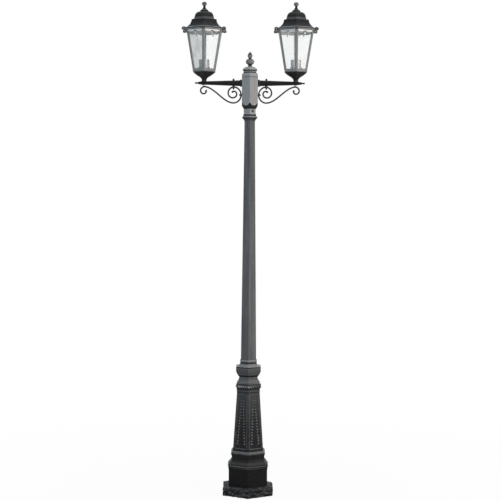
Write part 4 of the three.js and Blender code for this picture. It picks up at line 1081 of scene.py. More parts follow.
lid_paint = cast_finish(
    "lid_paint", srgb(144, 148, 151), srgb(120, 124, 127), srgb(192, 194, 195), hub_high, hub_high + 0.05,
    top_rub_and_light=0.3, shade_strength=0.95)
finial_paint = cast_finish(
    "finial_paint", srgb(80, 83, 85), srgb(58, 61, 63), srgb(180, 183, 185), hub_high + 0.05,
    hub_high + 0.12, top_rub_and_light=0.2, shade_strength=0.95)
lid_spigot_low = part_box("hub_lid")[0].z
lid_low = hub_high + seat_gap
chamfer_z = lid_low + lid_body_height
groove_z = chamfer_z + lid_chamfer_height
lid_plate_z = groove_z + lid_groove_height
lid_plate_top = lid_plate_z + lid_plate_height
lid_bead_z = lid_plate_top + lid_neck_height
hood_z = lid_bead_z + lid_bead_height
lid_high = hood_z + lid_hood_height
lid_spigot_half = box_half - seat_gap
bead_line = lid_bead_half - lid_bead_height * lid_bead_swell
lid_profile = rounded([
    (0, chamfer_z),
    (lid_spigot_half - lid_wall, lid_low),
    (lid_spigot_half - lid_wall, lid_spigot_low, 0.5),
    (lid_spigot_half, lid_spigot_low, 0.8),
    (lid_spigot_half, lid_low, 0.4),
    (hub_half, lid_low, 0.6, -0.5),
    (hub_half, lid_low + 1 * mm, 0, -0.5),
    (hub_half, lid_low + 2 * mm, 0, 0.2),
    (hub_half, chamfer_z, 1, 0.3),
    (lid_chamfer_half + 2 * mm, groove_z - 3 * mm, 0, 0.1),
    # Painted shade in the groove under the chamfer, round the plate and under the bead
    (lid_chamfer_half + 1.3 * mm, groove_z - 2 * mm, 0, -1),
    (lid_chamfer_half, groove_z, 0.8, -1),
    (lid_groove_half, groove_z, 0.4, -1),
    (lid_groove_half, lid_plate_z, 0.4, -1),
    (lid_plate_half, lid_plate_z, 0.7, 0.8),
    (lid_plate_half, lid_plate_top, 0.8, 0.8),
    (lid_groove_half, lid_plate_top, 0.6, -1),
    (lid_groove_half, lid_bead_z, 0.5, -1),
    *worn_and_shaded(bow((bead_line, lid_bead_z), (bead_line, hood_z), 2 * lid_bead_swell), -1, -1, -0.6, 0, 0.3),
    *worn_and_shaded(bow((bead_line, hood_z), (finial_neck_radius, lid_high), 0.1, 12)[1:-1], 0.3),
    (finial_neck_radius, lid_high, 0, -1),
    (0, lid_high),
])
stud_hole = bar(stud_radius + seat_gap, lid_low - lid_wall, lid_high + lid_wall)
lid_mesh = cut(revolved(lid_profile, hexagon(2 * mm)), stud_hole)
piece("lid", lid_mesh, lid_paint, "light_casting", "hub_lid", "hub_lid", crease=28)


# Finial. A turned urn with a bud on it, screwed into the lid with its own stud.
finial_neck_height = 5 * mm
urn_radius = 20 * mm
urn_height = 36 * mm
urn_low_share = 0.6
urn_high_share = 0.68
bud_neck_radius = 6.2 * mm
bud_neck_height = 1.5 * mm
bud_radius = 11.6 * mm
bud_height = 32.5 * mm
bud_middle_share = 0.42

finial_low = lid_high + seat_gap
urn_low_z = finial_low + urn_height * urn_low_share
urn_high_z = finial_low + urn_height * urn_high_share
urn_top = finial_low + urn_height
bud_z = urn_top + bud_neck_height
bud_middle_z = bud_z + bud_height * bud_middle_share
finial_stud_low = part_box("post_finial")[0].z
finial_profile = rounded([
    (0, finial_stud_low),
    (stud_radius, finial_stud_low),
    (stud_radius, finial_low),
    # Painted shade in the necks and on the undersides of the urn and the bud, turning to painted light
    # towards their widest parts
    (finial_neck_radius, finial_low, 0.8, -1),
    (finial_neck_radius + 1.2 * mm, finial_low + 2 * mm, 1, 0.8),
    (finial_neck_radius, finial_low + 3.4 * mm, 1, -1),
    *worn_and_shaded(bow((finial_neck_radius - 1.5 * mm, finial_low + finial_neck_height + 3 * mm),
                (urn_radius, urn_low_z), 0.14)[:-1], -1, -0.8, -0.5, 0, 0.3),
    (urn_radius, urn_low_z, 1, 0.5),
    (urn_radius, urn_high_z, 1.2, 0.5),
    *worn_and_shaded(bow((urn_radius, urn_high_z), (bud_neck_radius, urn_top), 0.16)[1:-1], 0.3, 0.1, -0.2, -0.5),
    (bud_neck_radius, urn_top, 0.6, -1),
    (bud_neck_radius, bud_z - 0.5 * mm, 0.6, -1),
    *worn_and_shaded(bow((bud_neck_radius, bud_z), (bud_radius, bud_middle_z), 0.08)[:-1], -1, -0.5, 0, 0.5),
    (bud_radius, bud_middle_z, 1, 0.8),
    *worn_and_shaded(bow((bud_radius, bud_middle_z + bud_neck_height), (0, bud_z + bud_height), 0.04, 12), 0, -0.5),
])
finial_mesh = revolved(finial_profile, circle(64))
piece("finial", finial_mesh, finial_paint, "light_casting", "hub_lid", "post_finial", crease=40)

# Arms. A turned and tapered round bar on each side, with a flange against the hub, a threaded root and a
# bore for the cable. A pointed tip closes its end. Near black, with a soft shine.
lantern_reach = 213.6 * mm
arm_root_radius = 13.6 * mm
arm_end_radius = 7.6 * mm
arm_bore = 4 * mm
flange_radius = 16.8 * mm
flange_length = 9 * mm
arm_thread_radius = 9 * mm
saddle_radius = 12.5 * mm
saddle_foot_radius = 9 * mm
saddle_rise = 1 * mm
bolt_reach = 76.5 * mm
spot_face = 1.2 * mm
ball_radius = 4.8 * mm
stem_radius = 4 * mm
bolt_radius = 2.5 * mm
tip_stud_length = 8 * mm

arm_paint = cast_finish(
    "arm_paint", srgb(16, 17, 18), srgb(18, 19, 20), srgb(118, 121, 124), arm_z - 0.02, arm_z + 0.02,
    edges=0.4, top_rub_and_light=0.12, gloss=0.12, mottle=0.02)
arm_inner, arm_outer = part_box("right_arm")[0].x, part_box("right_arm")[1].x
arm_start = hub_half + seat_gap


def arm_radius(reach):
    share = (reach - hub_half - flange_length) / (arm_outer - arm_start - flange_length)
    return arm_root_radius + (arm_end_radius - arm_root_radius) * share


saddle_low = arm_z - arm_radius(lantern_reach) - saddle_rise
saddle_high = arm_z + arm_radius(lantern_reach) + saddle_rise
bolt_seat = arm_z + arm_radius(bolt_reach) - spot_face
sides = [("left", math.pi), ("right", 0.0)]


def both_sides(*rows, body="post"):
    """Pieces on each side, from what was built for the right-hand one and is swung round the post.

    A row holds the name, mesh, finish and slot of a piece, the solid that it replaces, and its crease."""
    for side, turn in sides:
        for name, mesh, finish, slot, solid, crease in rows:
            replaced = [f"{side}_{solid}"] if solid else []
            swung = mesh.copy()
            swung.transform(Matrix.Rotation(turn, 4, "Z"))
            piece(f"{side}_{name}", swung, finish, slot, body.format(side=side), *replaced, crease=crease)


arm_profile = rounded([
    (arm_bore, arm_inner),
    (arm_thread_radius, arm_inner, 0.5),
    (arm_thread_radius, arm_start),
    (flange_radius, arm_start, 0.8),
    (flange_radius, arm_start + flange_length - saddle_rise, 1.6),
    (arm_root_radius, arm_start + flange_length, 1.2),
    *along((arm_radius(arm_start + 2 * flange_length), arm_start + 2 * flange_length),
           (arm_radius(arm_outer - 1 * mm), arm_outer - 1 * mm), 8),
    (arm_end_radius, arm_outer, 0.6),
    (arm_bore, arm_outer, 0.4),
])
saddle_profile = rounded([
    (0, saddle_low),
    (saddle_foot_radius, saddle_low, 0.6),
    (saddle_radius, saddle_high - saddle_rise, 0.5),
    (saddle_radius, saddle_high, 0.4),
    (0, saddle_high),
])
tip_low, tip_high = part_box("right_arm_tip")[0].x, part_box("right_arm_tip")[1].x
tip_start = tip_low + tip_stud_length
tip_length = tip_high - tip_start
tip_radii = [share * arm_end_radius for share in (0.94, 0.55, 0.4)]
tip_profile = rounded([
    (0, tip_low),
    (arm_bore - seat_gap, tip_low),
    (arm_bore - seat_gap, tip_start),
    (tip_radii[0], tip_start, 0.8),
    *bow((tip_radii[0] - 0.3 * mm, tip_start + 1 * mm),
         (tip_radii[2], tip_start + tip_length * 0.6), 0.05, 6),
    (tip_radii[1], tip_start + tip_length * 0.8, 2, 0.3),
    (tip_radii[1] * 0.8, tip_high - 1 * mm, 1.5),
    (0, tip_high),
])
holes = [
    laid(bar(arm_bore, arm_start, arm_outer - 2 * mm), 0, arm_z),
    moved(bar(stem_radius + seat_gap, saddle_low - overrun, saddle_high + overrun), lantern_reach),
    moved(bar(bolt_radius + seat_gap, arm_z - 2 * arm_root_radius, bolt_seat + seat_gap), bolt_reach),
    moved(bar(ball_radius + seat_gap, bolt_seat, arm_z + 2 * arm_root_radius), bolt_reach),
]
arm_mesh = laid(revolved(arm_profile, circle(56)), 0, arm_z)
saddle = moved(revolved(saddle_profile, circle(56)), lantern_reach)
tip_mesh = laid(revolved(tip_profile, circle(48)), 0, arm_z)
both_sides(
    ("arm_bar", cut(welded(arm_mesh, saddle), *holes), arm_paint, "black_casting", "arm", 32),
    ("tip", tip_mesh, arm_paint, "black_casting", "arm_tip", 40))


# Scroll brackets. Each is one round steel bar bent to a big volute at the hub, a long run and a small
# volute under the lantern, with a bud at both ends. A bolt through the arm and a screw hold it.
inner_radius = 30.5 * mm
inner_end_radius = 9 * mm
inner_turn = 1.08
outer_radius = 20 * mm
outer_end_radius = 9.5 * mm
outer_turn = 0.76
fall_power = 0.87
handle_share = 0.35
bud_size = 5.2 * mm
lug_radius = 6.2 * mm
lug_proud = 1.5 * mm
stem_nut_height = 3.4 * mm
small_nut_half = 4.5 * mm
small_nut_height = 4 * mm
screw_head_radius = 4.6 * mm
screw_head_height = 5 * mm

bar_top = arm_z - arm_radius(bolt_reach) - lug_proud - bar_radius
bar_low = arm_z - scroll_drop
outer_top = saddle_low - 2 * seat_gap - stem_nut_height - bar_radius
loop_left = hub_half + seat_gap + bar_radius


def volute(middle, turn, radius, end_radius, steps):
    """Points that wind inwards from the top of a circle; a point is (distance from the post, height)."""
    points = []
    for step in range(steps + 1):
        t = step / steps
        angle = 2 * math.pi * (0.25 - turn * t)
        reach = radius + (end_radius - radius) * t ** fall_power
        points.append((middle[0] + reach * math.cos(angle), middle[1] + reach * math.sin(angle)))
    return points


def curve(corners, steps):
    """Points of a Bezier curve."""
    shares = [step / steps for step in range(steps + 1)]
    terms = [((1 - t) ** 3, 3 * t * (1 - t) ** 2, 3 * t * t * (1 - t), t ** 3) for t in shares]
    return [tuple(sum(w * c[axis] for w, c in zip(term, corners)) for axis in (0, 1)) for term in terms]


def bent_bar(points, radius, sides=20):
    """A round bar along points in the plane of the arms, with flat ends."""
    places, faces = [], []
    for i, (x, z) in enumerate(points):
        before, after = points[max(i - 1, 0)], points[min(i + 1, len(points) - 1)]
        way = Vector((after[0] - before[0], after[1] - before[1])).normalized()
        for side in range(sides):
            turn = 2 * math.pi * side / sides
            out, aside = radius * math.cos(turn), radius * math.sin(turn)
            places.append((x + way.y * out, aside, z - way.x * out))
    for i in range(len(points) - 1):
        for side in range(sides):
            a, b = i * sides + side, i * sides + (side + 1) % sides
            faces.append((a, b, b + sides, a + sides))
    faces.append(tuple(reversed(range(sides))))
    faces.append(tuple(range(len(places) - sides, len(places))))
    return built(places, faces)


def ball(radius, x, z, segments=28, rings=18):
    turns = [math.pi * i / rings for i in range(1, rings)]
    profile = [(0, -radius, 0), *[(radius * math.sin(turn), -radius * math.cos(turn), 0) for turn in turns],
               (0, radius, 0)]
    return moved(revolved(profile, circle(segments)), x, z=z)


def lug(low, high):
    """A round boss between two places on its axis."""
    profile = rounded([(0, low), (lug_radius, low, 0.6), (lug_radius, high, 0.6), (0, high)])
    return revolved(profile, circle())


loop_middle = (bar_top + bar_low) / 2
loop_turns = [math.pi * (0.5 + i / 40) for i in range(1, 41)]
handle = (lantern_reach - bolt_reach) * handle_share
scroll_points = [
    *volute((bolt_reach, bar_top - inner_radius), inner_turn, inner_radius, inner_end_radius, 72)[::-1],
    *[(bolt_reach + (bolt_reach - loop_left) * math.cos(turn),
       loop_middle + (bar_top - bar_low) / 2 * math.sin(turn)) for turn in loop_turns],
    *curve([(bolt_reach, bar_low), (bolt_reach + handle, bar_low), (lantern_reach - handle, outer_top),
            (lantern_reach, outer_top)], 40)[1:],
    *volute((lantern_reach, outer_top - outer_radius), outer_turn, outer_radius, outer_end_radius, 48)[1:],
]
lug_low = bar_top - bar_radius - lug_proud
lug_high = bar_top + bar_radius + lug_proud - seat_gap
nut_low = lug_low - seat_gap - small_nut_height
bolt_low = nut_low - bolt_radius
ball_seat = bolt_seat + seat_gap
bolt_profile = rounded([
    (0, bolt_low),
    (bolt_radius, bolt_low, 0.5),
    (bolt_radius, ball_seat),
    (ball_radius, ball_seat, 0.4),
    *bow((ball_radius, ball_seat + ball_radius), (0, ball_seat + 2 * ball_radius), 0.25, 12),
])
screw_seat = loop_left + bar_radius + seat_gap
screw_middle = screw_seat + screw_head_height / 2
screw_top = screw_seat + screw_head_height
wall_screw_profile = rounded([
    (0, box_half - bolt_radius),
    (bolt_radius, box_half - bolt_radius),
    (bolt_radius, screw_seat),
    (screw_head_radius, screw_seat, 0.5),
    *bow((screw_head_radius, screw_middle), (bolt_radius, screw_top), 0.2),
    (bolt_radius / 2, screw_top, 0.2),
    (bolt_radius / 2, screw_middle),
    (0, screw_middle),
])
nut_profile = rounded([
    (bolt_radius + seat_gap, nut_low, 0.3),
    (small_nut_half, nut_low, 0.5),
    (small_nut_half, nut_low + small_nut_height, 0.5),
    (bolt_radius + seat_gap, nut_low + small_nut_height, 0.3),
])
lug_holes = [
    moved(bar(bolt_radius + seat_gap, bar_top - lug_radius - bar_radius, arm_z), bolt_reach),
    laid(bar(bolt_radius + seat_gap, 0, loop_left + lug_radius), 0, wall_screw_z),
]
lugs = [
    moved(lug(lug_low, lug_high), bolt_reach),
    laid(lug(arm_start, loop_left + bar_radius), 0, wall_screw_z),
    *[ball(bud_size, x, z) for x, z in (scroll_points[0], scroll_points[-1])],
]
scroll_mesh = cut(welded(bent_bar(scroll_points, bar_radius), *lugs), *lug_holes)
bolt_mesh = moved(revolved(bolt_profile, circle(32)), bolt_reach)
nut_mesh = moved(revolved(nut_profile, hexagon(0.6 * mm)), bolt_reach)
wall_screw_mesh = laid(revolved(wall_screw_profile, circle(32)), 0, wall_screw_z)
both_sides(
    ("bracket", scroll_mesh, black_steel, "black_steel", "scroll", 40),
    ("bolt", bolt_mesh, black_steel, "black_steel", "scroll_bolt", 40),
    ("nut", nut_mesh, black_steel, "black_steel", "scroll_nut", 35),
    ("screw", wall_screw_mesh, black_steel, "black_steel", "scroll_wall_screw", 35))

# Lantern bases. Each is a cast hexagonal cup on a narrow neck, bolted down by a hollow stem through it
# and the arm, which brings the cable up. The stem and its nut keep their solids.
cup_neck_half = 11 * mm
cup_neck_height = 6 * mm
cup_waist_half = 23 * mm
cup_waist_height = 14.5 * mm
cup_bowl_height = 20.5 * mm
cup_rim_half = 50 * mm
cup_rim_height = 2 * mm
cup_floor_height = 33 * mm
cup_wall = 4 * mm

cup_z = saddle_high + seat_gap
waist_z = cup_z + cup_neck_height + cup_waist_height
rim_z = waist_z + cup_bowl_height
cup_floor_z = cup_z + cup_floor_height
cage_z = rim_z + cup_rim_height + seat_gap
roof_black = cast_finish(
    "roof_paint", srgb(17, 18, 19), srgb(24, 25, 26), srgb(168, 172, 175), 2.16, 2.26, edges=0.85,
    top_rub_and_light=0.05, mottle=0.02, lining=srgb(226, 228, 229))
cup_profile = rounded([
    (0, cup_z),
    (cup_neck_half, cup_z, 0.8),
    *bow((cup_neck_half, cup_z + cup_neck_height), (cup_waist_half, waist_z), -0.08),
    *bow((cup_waist_half, waist_z), (cup_rim_half, rim_z), 0.03)[1:-1],
    (cup_rim_half, rim_z, 0.8),
    (cup_rim_half, rim_z + cup_rim_height, 0.5),
    (cup_rim_half - cup_wall, rim_z + cup_rim_height, 0.5),
    (cup_rim_half - 3 * cup_wall, cup_floor_z, 1),
    (0, cup_floor_z),
])
stem_hole = bar(stem_radius + seat_gap, cup_z - cup_wall, cup_floor_z + cup_wall)
cup_mesh = moved(cut(revolved(cup_profile, hexagon(2 * mm)), stem_hole), lantern_reach)
both_sides(("cup", cup_mesh, roof_black, "black_casting", "base_cup", 30))
keep(zinc, "left_stem", "left_stem_nut", "right_stem", "right_stem_nut")


# Cages. One casting each: a foot rail, six mullions that lean outwards, and a scalloped sill in every
# window. Painted grey outside and pale inside.
cage_foot_half = 51 * mm
cage_head_half = 82.25 * mm
cage_height = 195 * mm
cage_wall = 4 * mm
ledge_height = 5 * mm
ledge_half = 43 * mm
foot_rail_height = 4 * mm
foot_rail_out = 1.2 * mm
mullion_width = 8.2 * mm
sill_height = 12 * mm
sill_lobe = -3 * mm
sill_peak = 7 * mm
valance_drop = 13 * mm
valance_lobe = -4 * mm
valance_pendant = 13 * mm
valance_thickness = 2.2 * mm
valance_screw_radius = 3.2 * mm
head_rail = 3 * mm
pendant_width = 5 * mm
valance_inset = 0.8 * mm
valance_screw_drop = 11 * mm
cage_edge = 0.5 * mm
sheet_edge = 0.4 * mm
lining_share = 0.6
glass_thickness = 3 * mm
glass_head_gap = 3 * mm

cage_run = cage_head_half - cage_foot_half
cage_lean = math.atan2(cage_run, cage_height)
face_length = math.hypot(cage_height, cage_run)
cage_head = cage_z + cage_height


def face_half(up, margin):
    """Half the width of a face of the cage at a height up the face, less a margin."""
    return tan30 * (cage_foot_half + cage_run * up / face_length) - margin


def on_face(outline, near, far, turn):
    """A slab behind one face of the cage, between two depths, from its outline drawn on the face."""
    out = Vector((math.cos(turn), math.sin(turn), 0))
    across = Vector((-out.y, out.x, 0))
    up = out * math.sin(cage_lean) + Vector((0, 0, math.cos(cage_lean)))
    inward = -across.cross(up)
    start = out * cage_foot_half + Vector((0, 0, cage_z))
    places = [start + across * x + up * y + inward * depth for depth in (near, far) for x, y in outline]
    count = len(outline)
    faces = [tuple(range(count)), tuple(reversed(range(count, 2 * count)))]
    faces += [(i, (i + 1) % count, (i + 1) % count + count, i + count)[::-1] for i in range(count)]
    return built(places, faces)


def lobes(start, end, base, rise, steps=14):
    """An arched edge of a window, from one place across to another."""
    shares = [step / steps for step in range(steps + 1)]
    return [(start + (end - start) * t, base + rise * math.sin(math.pi * t)) for t in shares]


spring = face_length - valance_drop
low_half = face_half(sill_height, mullion_width)
high_half = face_half(spring, mullion_width)
window_top = face_length - head_rail
top_half = face_half(window_top, mullion_width)
half_pendant = pendant_width / 2
window = [
    *lobes(-low_half, -half_pendant, sill_height + sill_lobe, -sill_lobe),
    (0, sill_height + sill_peak),
    *lobes(half_pendant, low_half, sill_height + sill_lobe, -sill_lobe),
    (top_half, window_top),
    (-top_half, window_top),
]
valance = [
    *lobes(-high_half - 1 * mm, -half_pendant, spring, valance_lobe),
    (-half_pendant, spring - valance_pendant + half_pendant),
    (0, spring - valance_pendant),
    (half_pendant, spring - valance_pendant + half_pendant),
    *lobes(half_pendant, high_half + 1 * mm, spring, valance_lobe),
    (top_half + 1 * mm, window_top + 1 * mm),
    (-top_half - 1 * mm, window_top + 1 * mm),
]
rail_top = foot_rail_height + foot_rail_out
cage_thick = cage_wall / math.cos(cage_lean)
cage_profile = rounded([
    (ledge_half, cage_z, 0.4),
    (cage_foot_half + foot_rail_out, cage_z, 0.6),
    (cage_foot_half + foot_rail_out, cage_z + foot_rail_height, 0.6),
    (cage_foot_half + cage_run * rail_top / cage_height, cage_z + rail_top),
    (cage_head_half, cage_head, 0.6),
    (cage_head_half - cage_thick, cage_head, 0.6),
    (cage_foot_half - cage_thick + cage_run * ledge_height / cage_height, cage_z + ledge_height),
    (ledge_half, cage_z + ledge_height, 0.6),
])

cage_grey = srgb(126, 130, 132)
cage_paint = cast_finish(
    "cage_paint", cage_grey, cage_grey, srgb(186, 189, 190), top_rub_and_light=0.2, lining=srgb(214, 216, 217))
face_turns = [math.radians(60 * side) for side in range(6)]


def eased(mesh, width):
    """The mesh with its sharp edges rounded."""
    return evaluated(mesh, ("BEVEL", {"width": width, "segments": 2, "angle_limit": math.radians(50)}))


def lined(mesh, is_inside):
    """The mesh with its inside marked, by a test of each point and of its distance across the flats."""
    inside = mesh.attributes.new("inside", "FLOAT", "POINT")
    for vertex, mark in zip(mesh.vertices, inside.data):
        x, y, _ = vertex.co
        reach = max(x * math.cos(turn) + y * math.sin(turn) for turn in face_turns)
        mark.value = 1 if is_inside(vertex, reach) else 0
    return mesh


def inside_cage(vertex, reach):
    skin = cage_foot_half + cage_run * (vertex.co.z - cage_z) / cage_height
    return reach < skin - cage_thick * lining_share


windows = [on_face(window, -overrun, cage_wall + overrun, turn) for turn in face_turns]
cage_mesh = eased(cut(revolved(cage_profile, hexagon(1.2 * mm)), *windows), cage_edge)
cage_mesh = moved(lined(cage_mesh, inside_cage), lantern_reach)


# Valances. Behind the head of every window hangs a scalloped strip of white plastic with a pendant, held by
# one dark dome-headed screw.
material, maker, place = new_finish("white_plastic")
frost = speckle(maker, place, 40, 2.0)
white_plastic = coated(
    material, maker, srgb(228, 232, 235), frost.span(0.3, 0.7) * 0.1 + 0.4, frost, 0.2, 0.2, {})
dome = rounded([
    (0, 0),
    (valance_screw_radius, 0),
    *bow((valance_screw_radius, 0.6 * mm), (0, valance_screw_radius), 0.2),
])
dome_rise = (window_top - valance_screw_drop) * math.cos(cage_lean)
dome_out = cage_foot_half + cage_run * dome_rise / cage_height - 1 * mm
plates, domes = [], []
for turn in face_turns:
    plate = on_face(valance, valance_inset, valance_inset + valance_thickness, turn)
    plates.append(eased(plate, sheet_edge))
    domes.append(laid(moved(revolved(dome, circle(24)), z=dome_out), turn, cage_z + dome_rise))
both_sides(
    ("valances", moved(joined(*plates), lantern_reach), white_plastic, "white_insulator", None, 35),
    ("valance_screws", moved(joined(*domes), lantern_reach), roof_black, "black_steel", None, 35))


# Panes. Clear sheet glass, 3 mm thick, standing on the cage's ledge, a little hazy in clouds.
def glass_finish(name, film_colour, least, most):
    """Clear glass under a thin film, which covers it by a share that goes from least to most in clouds."""
    material, maker, place = new_finish(name)
    haze = speckle(maker, place, 20, 3.0).span(0.4, 0.65)
    bump = maker.node("ShaderNodeBump", {
        "Strength": 0.15, "Distance": 0.3 * mm, "Height": speckle(maker, place, 18, 1.0)})
    clear = maker.node("ShaderNodeBsdfTransparent", {"Color": (0.985, 0.99, 0.99, 1)})
    sheen = maker.node("ShaderNodeBsdfPrincipled", {
        "Base Color": film_colour, "Roughness": haze * 0.1 + 0.04, "Specular IOR Level": 0.5,
        "Normal": bump})
    grazing = maker.node("ShaderNodeLayerWeight", {"Blend": 0.25}, "Facing")
    film = grazing * 0.15 + haze * (most - least) + least
    surface = maker.node("ShaderNodeMixShader", {0: film, 1: clear, 2: sheen})
    maker.node("ShaderNodeOutputMaterial", {"Surface": surface})
    return material


pane_glass = glass_finish("pane_glass", srgb(214, 219, 219), 0.01, 0.03)
# A denser grey-green film that stands for a painted reflection in one pane
painted_reflection_glass = glass_finish("painted_reflection_glass", srgb(146, 154, 150), 0.24, 0.36)
pane_near = cage_wall + seat_gap
pane_far = pane_near + glass_thickness
pane_foot = ledge_height + seat_gap + glass_thickness * math.sin(cage_lean)
pane_low = pane_foot / math.cos(cage_lean) + pane_near * math.tan(cage_lean)
pane_high = face_length - glass_head_gap - pane_far * math.tan(cage_lean)
pane_margin = tan30 * pane_far / math.cos(cage_lean) + seat_gap
pane_low_half = face_half(pane_low, pane_margin)
pane_high_half = face_half(pane_high, pane_margin)
pane = [(-pane_low_half, pane_low), (pane_low_half, pane_low), (pane_high_half, pane_high),
        (-pane_high_half, pane_high)]
panes = [moved(eased(on_face(pane, pane_near, pane_far, turn), sheet_edge), lantern_reach)
         for turn in face_turns]
both_sides(
    ("frame", cage_mesh, cage_paint, "light_casting", "cage", 40),
    *[(f"pane_{i + 1}", sheet, pane_glass, "clear_glass", f"glass_pane_{i + 1}", 40)
      for i, sheet in enumerate(panes)])

# One pane of the left lantern has a grey-green film: a painted reflection
bpy.data.objects["left_pane_2"].data.materials[0] = painted_reflection_glass


# Lamp holders. A satin metal sleeve stands in each cup round a white insulator, in which a threaded brass
# shell and a contact take the lamp's cap.
sleeve_radius = 24 * mm
sleeve_wall = 1.6 * mm
sleeve_height = 66 * mm
insulator_bore = 15 * mm
insulator_recess_radius = 10 * mm
insulator_recess = 8 * mm
insulator_floor = 14 * mm
holder_recess = 3 * mm
shell_wall = 1.2 * mm
shell_length = 32 * mm
thread_pitch = 3.6 * mm
thread_depth = 0.8 * mm
contact_radius = 4 * mm
contact_height = 2.5 * mm


# Brushed metal: fine scratches round it, and a few dull marks
material, maker, place = new_finish("satin_metal")
brush = speckle(maker, place, 220, 3.0, (0.2, 0.2, 6))
marks = speckle(maker, place, 60, 3.0).span(0.5, 0.8)
colour = mixed(maker, brush * 0.5 + marks * 0.3, srgb(204, 208, 210), srgb(176, 180, 184))
satin = coated(material, maker, colour, brush * 0.15 + 0.4, brush, 0.15, 0.2, {"Metallic": 0.2})

# White glazed porcelain, faintly speckled
material, maker, place = new_finish("white_glaze")
spots = speckle(maker, place, 420, 2.0).span(0.66, 0.76)
clouds = speckle(maker, place, 45, 3.0)
colour = mixed(maker, spots * 0.35 + clouds * 0.15, srgb(232, 230, 222), srgb(168, 160, 146))
glaze = coated(material, maker, colour, clouds * 0.1 + 0.18, clouds, 0.1, 0.3, {"Coat Weight": 0.4})

# Rolled brass with brown tarnish in blotches
material, maker, place = new_finish("brass")
tarnish = speckle(maker, place, 150, 4.0)
colour = mixed(maker, tarnish.span(0.4, 0.75), srgb(206, 168, 92), srgb(128, 92, 48))
brass = coated(material, maker, colour, tarnish * 0.35 + 0.15, tarnish, 0.15, 0.2, {"Metallic": 0.95})

sleeve_z = cup_floor_z + seat_gap
sleeve_top = sleeve_z + sleeve_height
sleeve_bore = sleeve_radius - sleeve_wall
holder_floor = sleeve_z + sleeve_wall
holder_top = sleeve_top - holder_recess
insulator_low = holder_floor + seat_gap
recess_top = insulator_low + insulator_recess
bore_floor = recess_top + insulator_floor
sleeve_profile = rounded([
    (stem_radius + seat_gap, sleeve_z),
    (sleeve_radius, sleeve_z, 1.2),
    (sleeve_radius, sleeve_top, 0.5),
    (sleeve_bore, sleeve_top, 0.5),
    (sleeve_bore, holder_floor, 0.8),
    (stem_radius + seat_gap, holder_floor),
])
insulator_profile = rounded([
    (0, recess_top),
    (insulator_recess_radius, recess_top),
    (insulator_recess_radius, insulator_low, 0.6),
    (sleeve_bore - seat_gap, insulator_low, 1),
    (sleeve_bore - seat_gap, holder_top, 1.2),
    (insulator_bore, holder_top, 0.8),
    (insulator_bore, bore_floor, 1),
    (contact_radius, bore_floor, 0.3),
    (contact_radius, bore_floor + contact_height, 0.8),
    (0, bore_floor + contact_height),
])
shell_outside = insulator_bore - seat_gap
shell_lip = holder_top + seat_gap
shell_low = shell_lip - shell_length


def thread(height):
    share = (height - shell_low) / thread_pitch
    return thread_depth * (0.5 - 0.5 * math.cos(2 * math.pi * share))


thread_heights = [shell_low + (shell_length - 4 * mm) * step / 96 for step in range(97)]
outer_thread = [(shell_outside - thread(height), height, 0) for height in thread_heights]
inner_thread = [(half - shell_wall, height, 0) for half, height, _ in reversed(outer_thread)]
lip = rounded([
    (shell_outside, shell_lip - 3 * mm),
    (shell_outside, shell_lip, 0.4),
    (insulator_bore + 2 * shell_wall, shell_lip, 0.3),
    (insulator_bore + 2 * shell_wall, shell_lip + shell_wall, 0.3),
    (shell_outside - shell_wall, shell_lip + shell_wall, 0.5),
    (shell_outside - shell_wall, shell_lip - 3 * mm),
])
sleeve_mesh, insulator_mesh, shell_mesh = (
    moved(revolved(profile, circle(72)), lantern_reach)
    for profile in (sleeve_profile, insulator_profile, outer_thread + lip + inner_thread))
both_sides(
    ("sleeve", sleeve_mesh, satin, "satin_sleeve", "lamp_sleeve", 35),
    ("insulator", insulator_mesh, glaze, "white_insulator", "socket_base", 35),
    ("shell", shell_mesh, brass, "brass", "socket_shell", 50))

# Roofs. Each is a cast hexagonal hood that drops over the head of its cage: an eave, a concave skirt, a
# drum and a dome, with a curled leaf at every corner of the eave. Near black, greyer on its edges.
eave_half = 89.5 * mm
eave_height = 9 * mm
eave_overlap = 7 * mm
eave_slope = 2 * mm
eave_slope_run = 4 * mm
skirt_height = 37 * mm
skirt_high_half = 57.5 * mm
step_height = 3 * mm
drum_half = 49 * mm
drum_high_half = 44 * mm
drum_height = 12.5 * mm
dome_height = 25.5 * mm
dome_high_half = 22.5 * mm
roof_wall = 3.5 * mm
ear_width = 9 * mm
ear_reach = 13 * mm
ear_shares = [(-0.35, 0.1), (0.25, -0.15), (0.8, -0.1), (1.02, 0.45), (0.95, 1.05), (0.6, 1.5), (0.1, 1.55),
              (-0.3, 1.1)]
ear_rims = [(1, 0.5, 0.3), (0.97, 0.82, 0.2), (0.9, 0.96, 0.1), (0.82, 0.92, 0), (0.7, 0.6, 0.4),
            (0, 0.66, 0.8)]
thumb_hole = 2.3 * mm

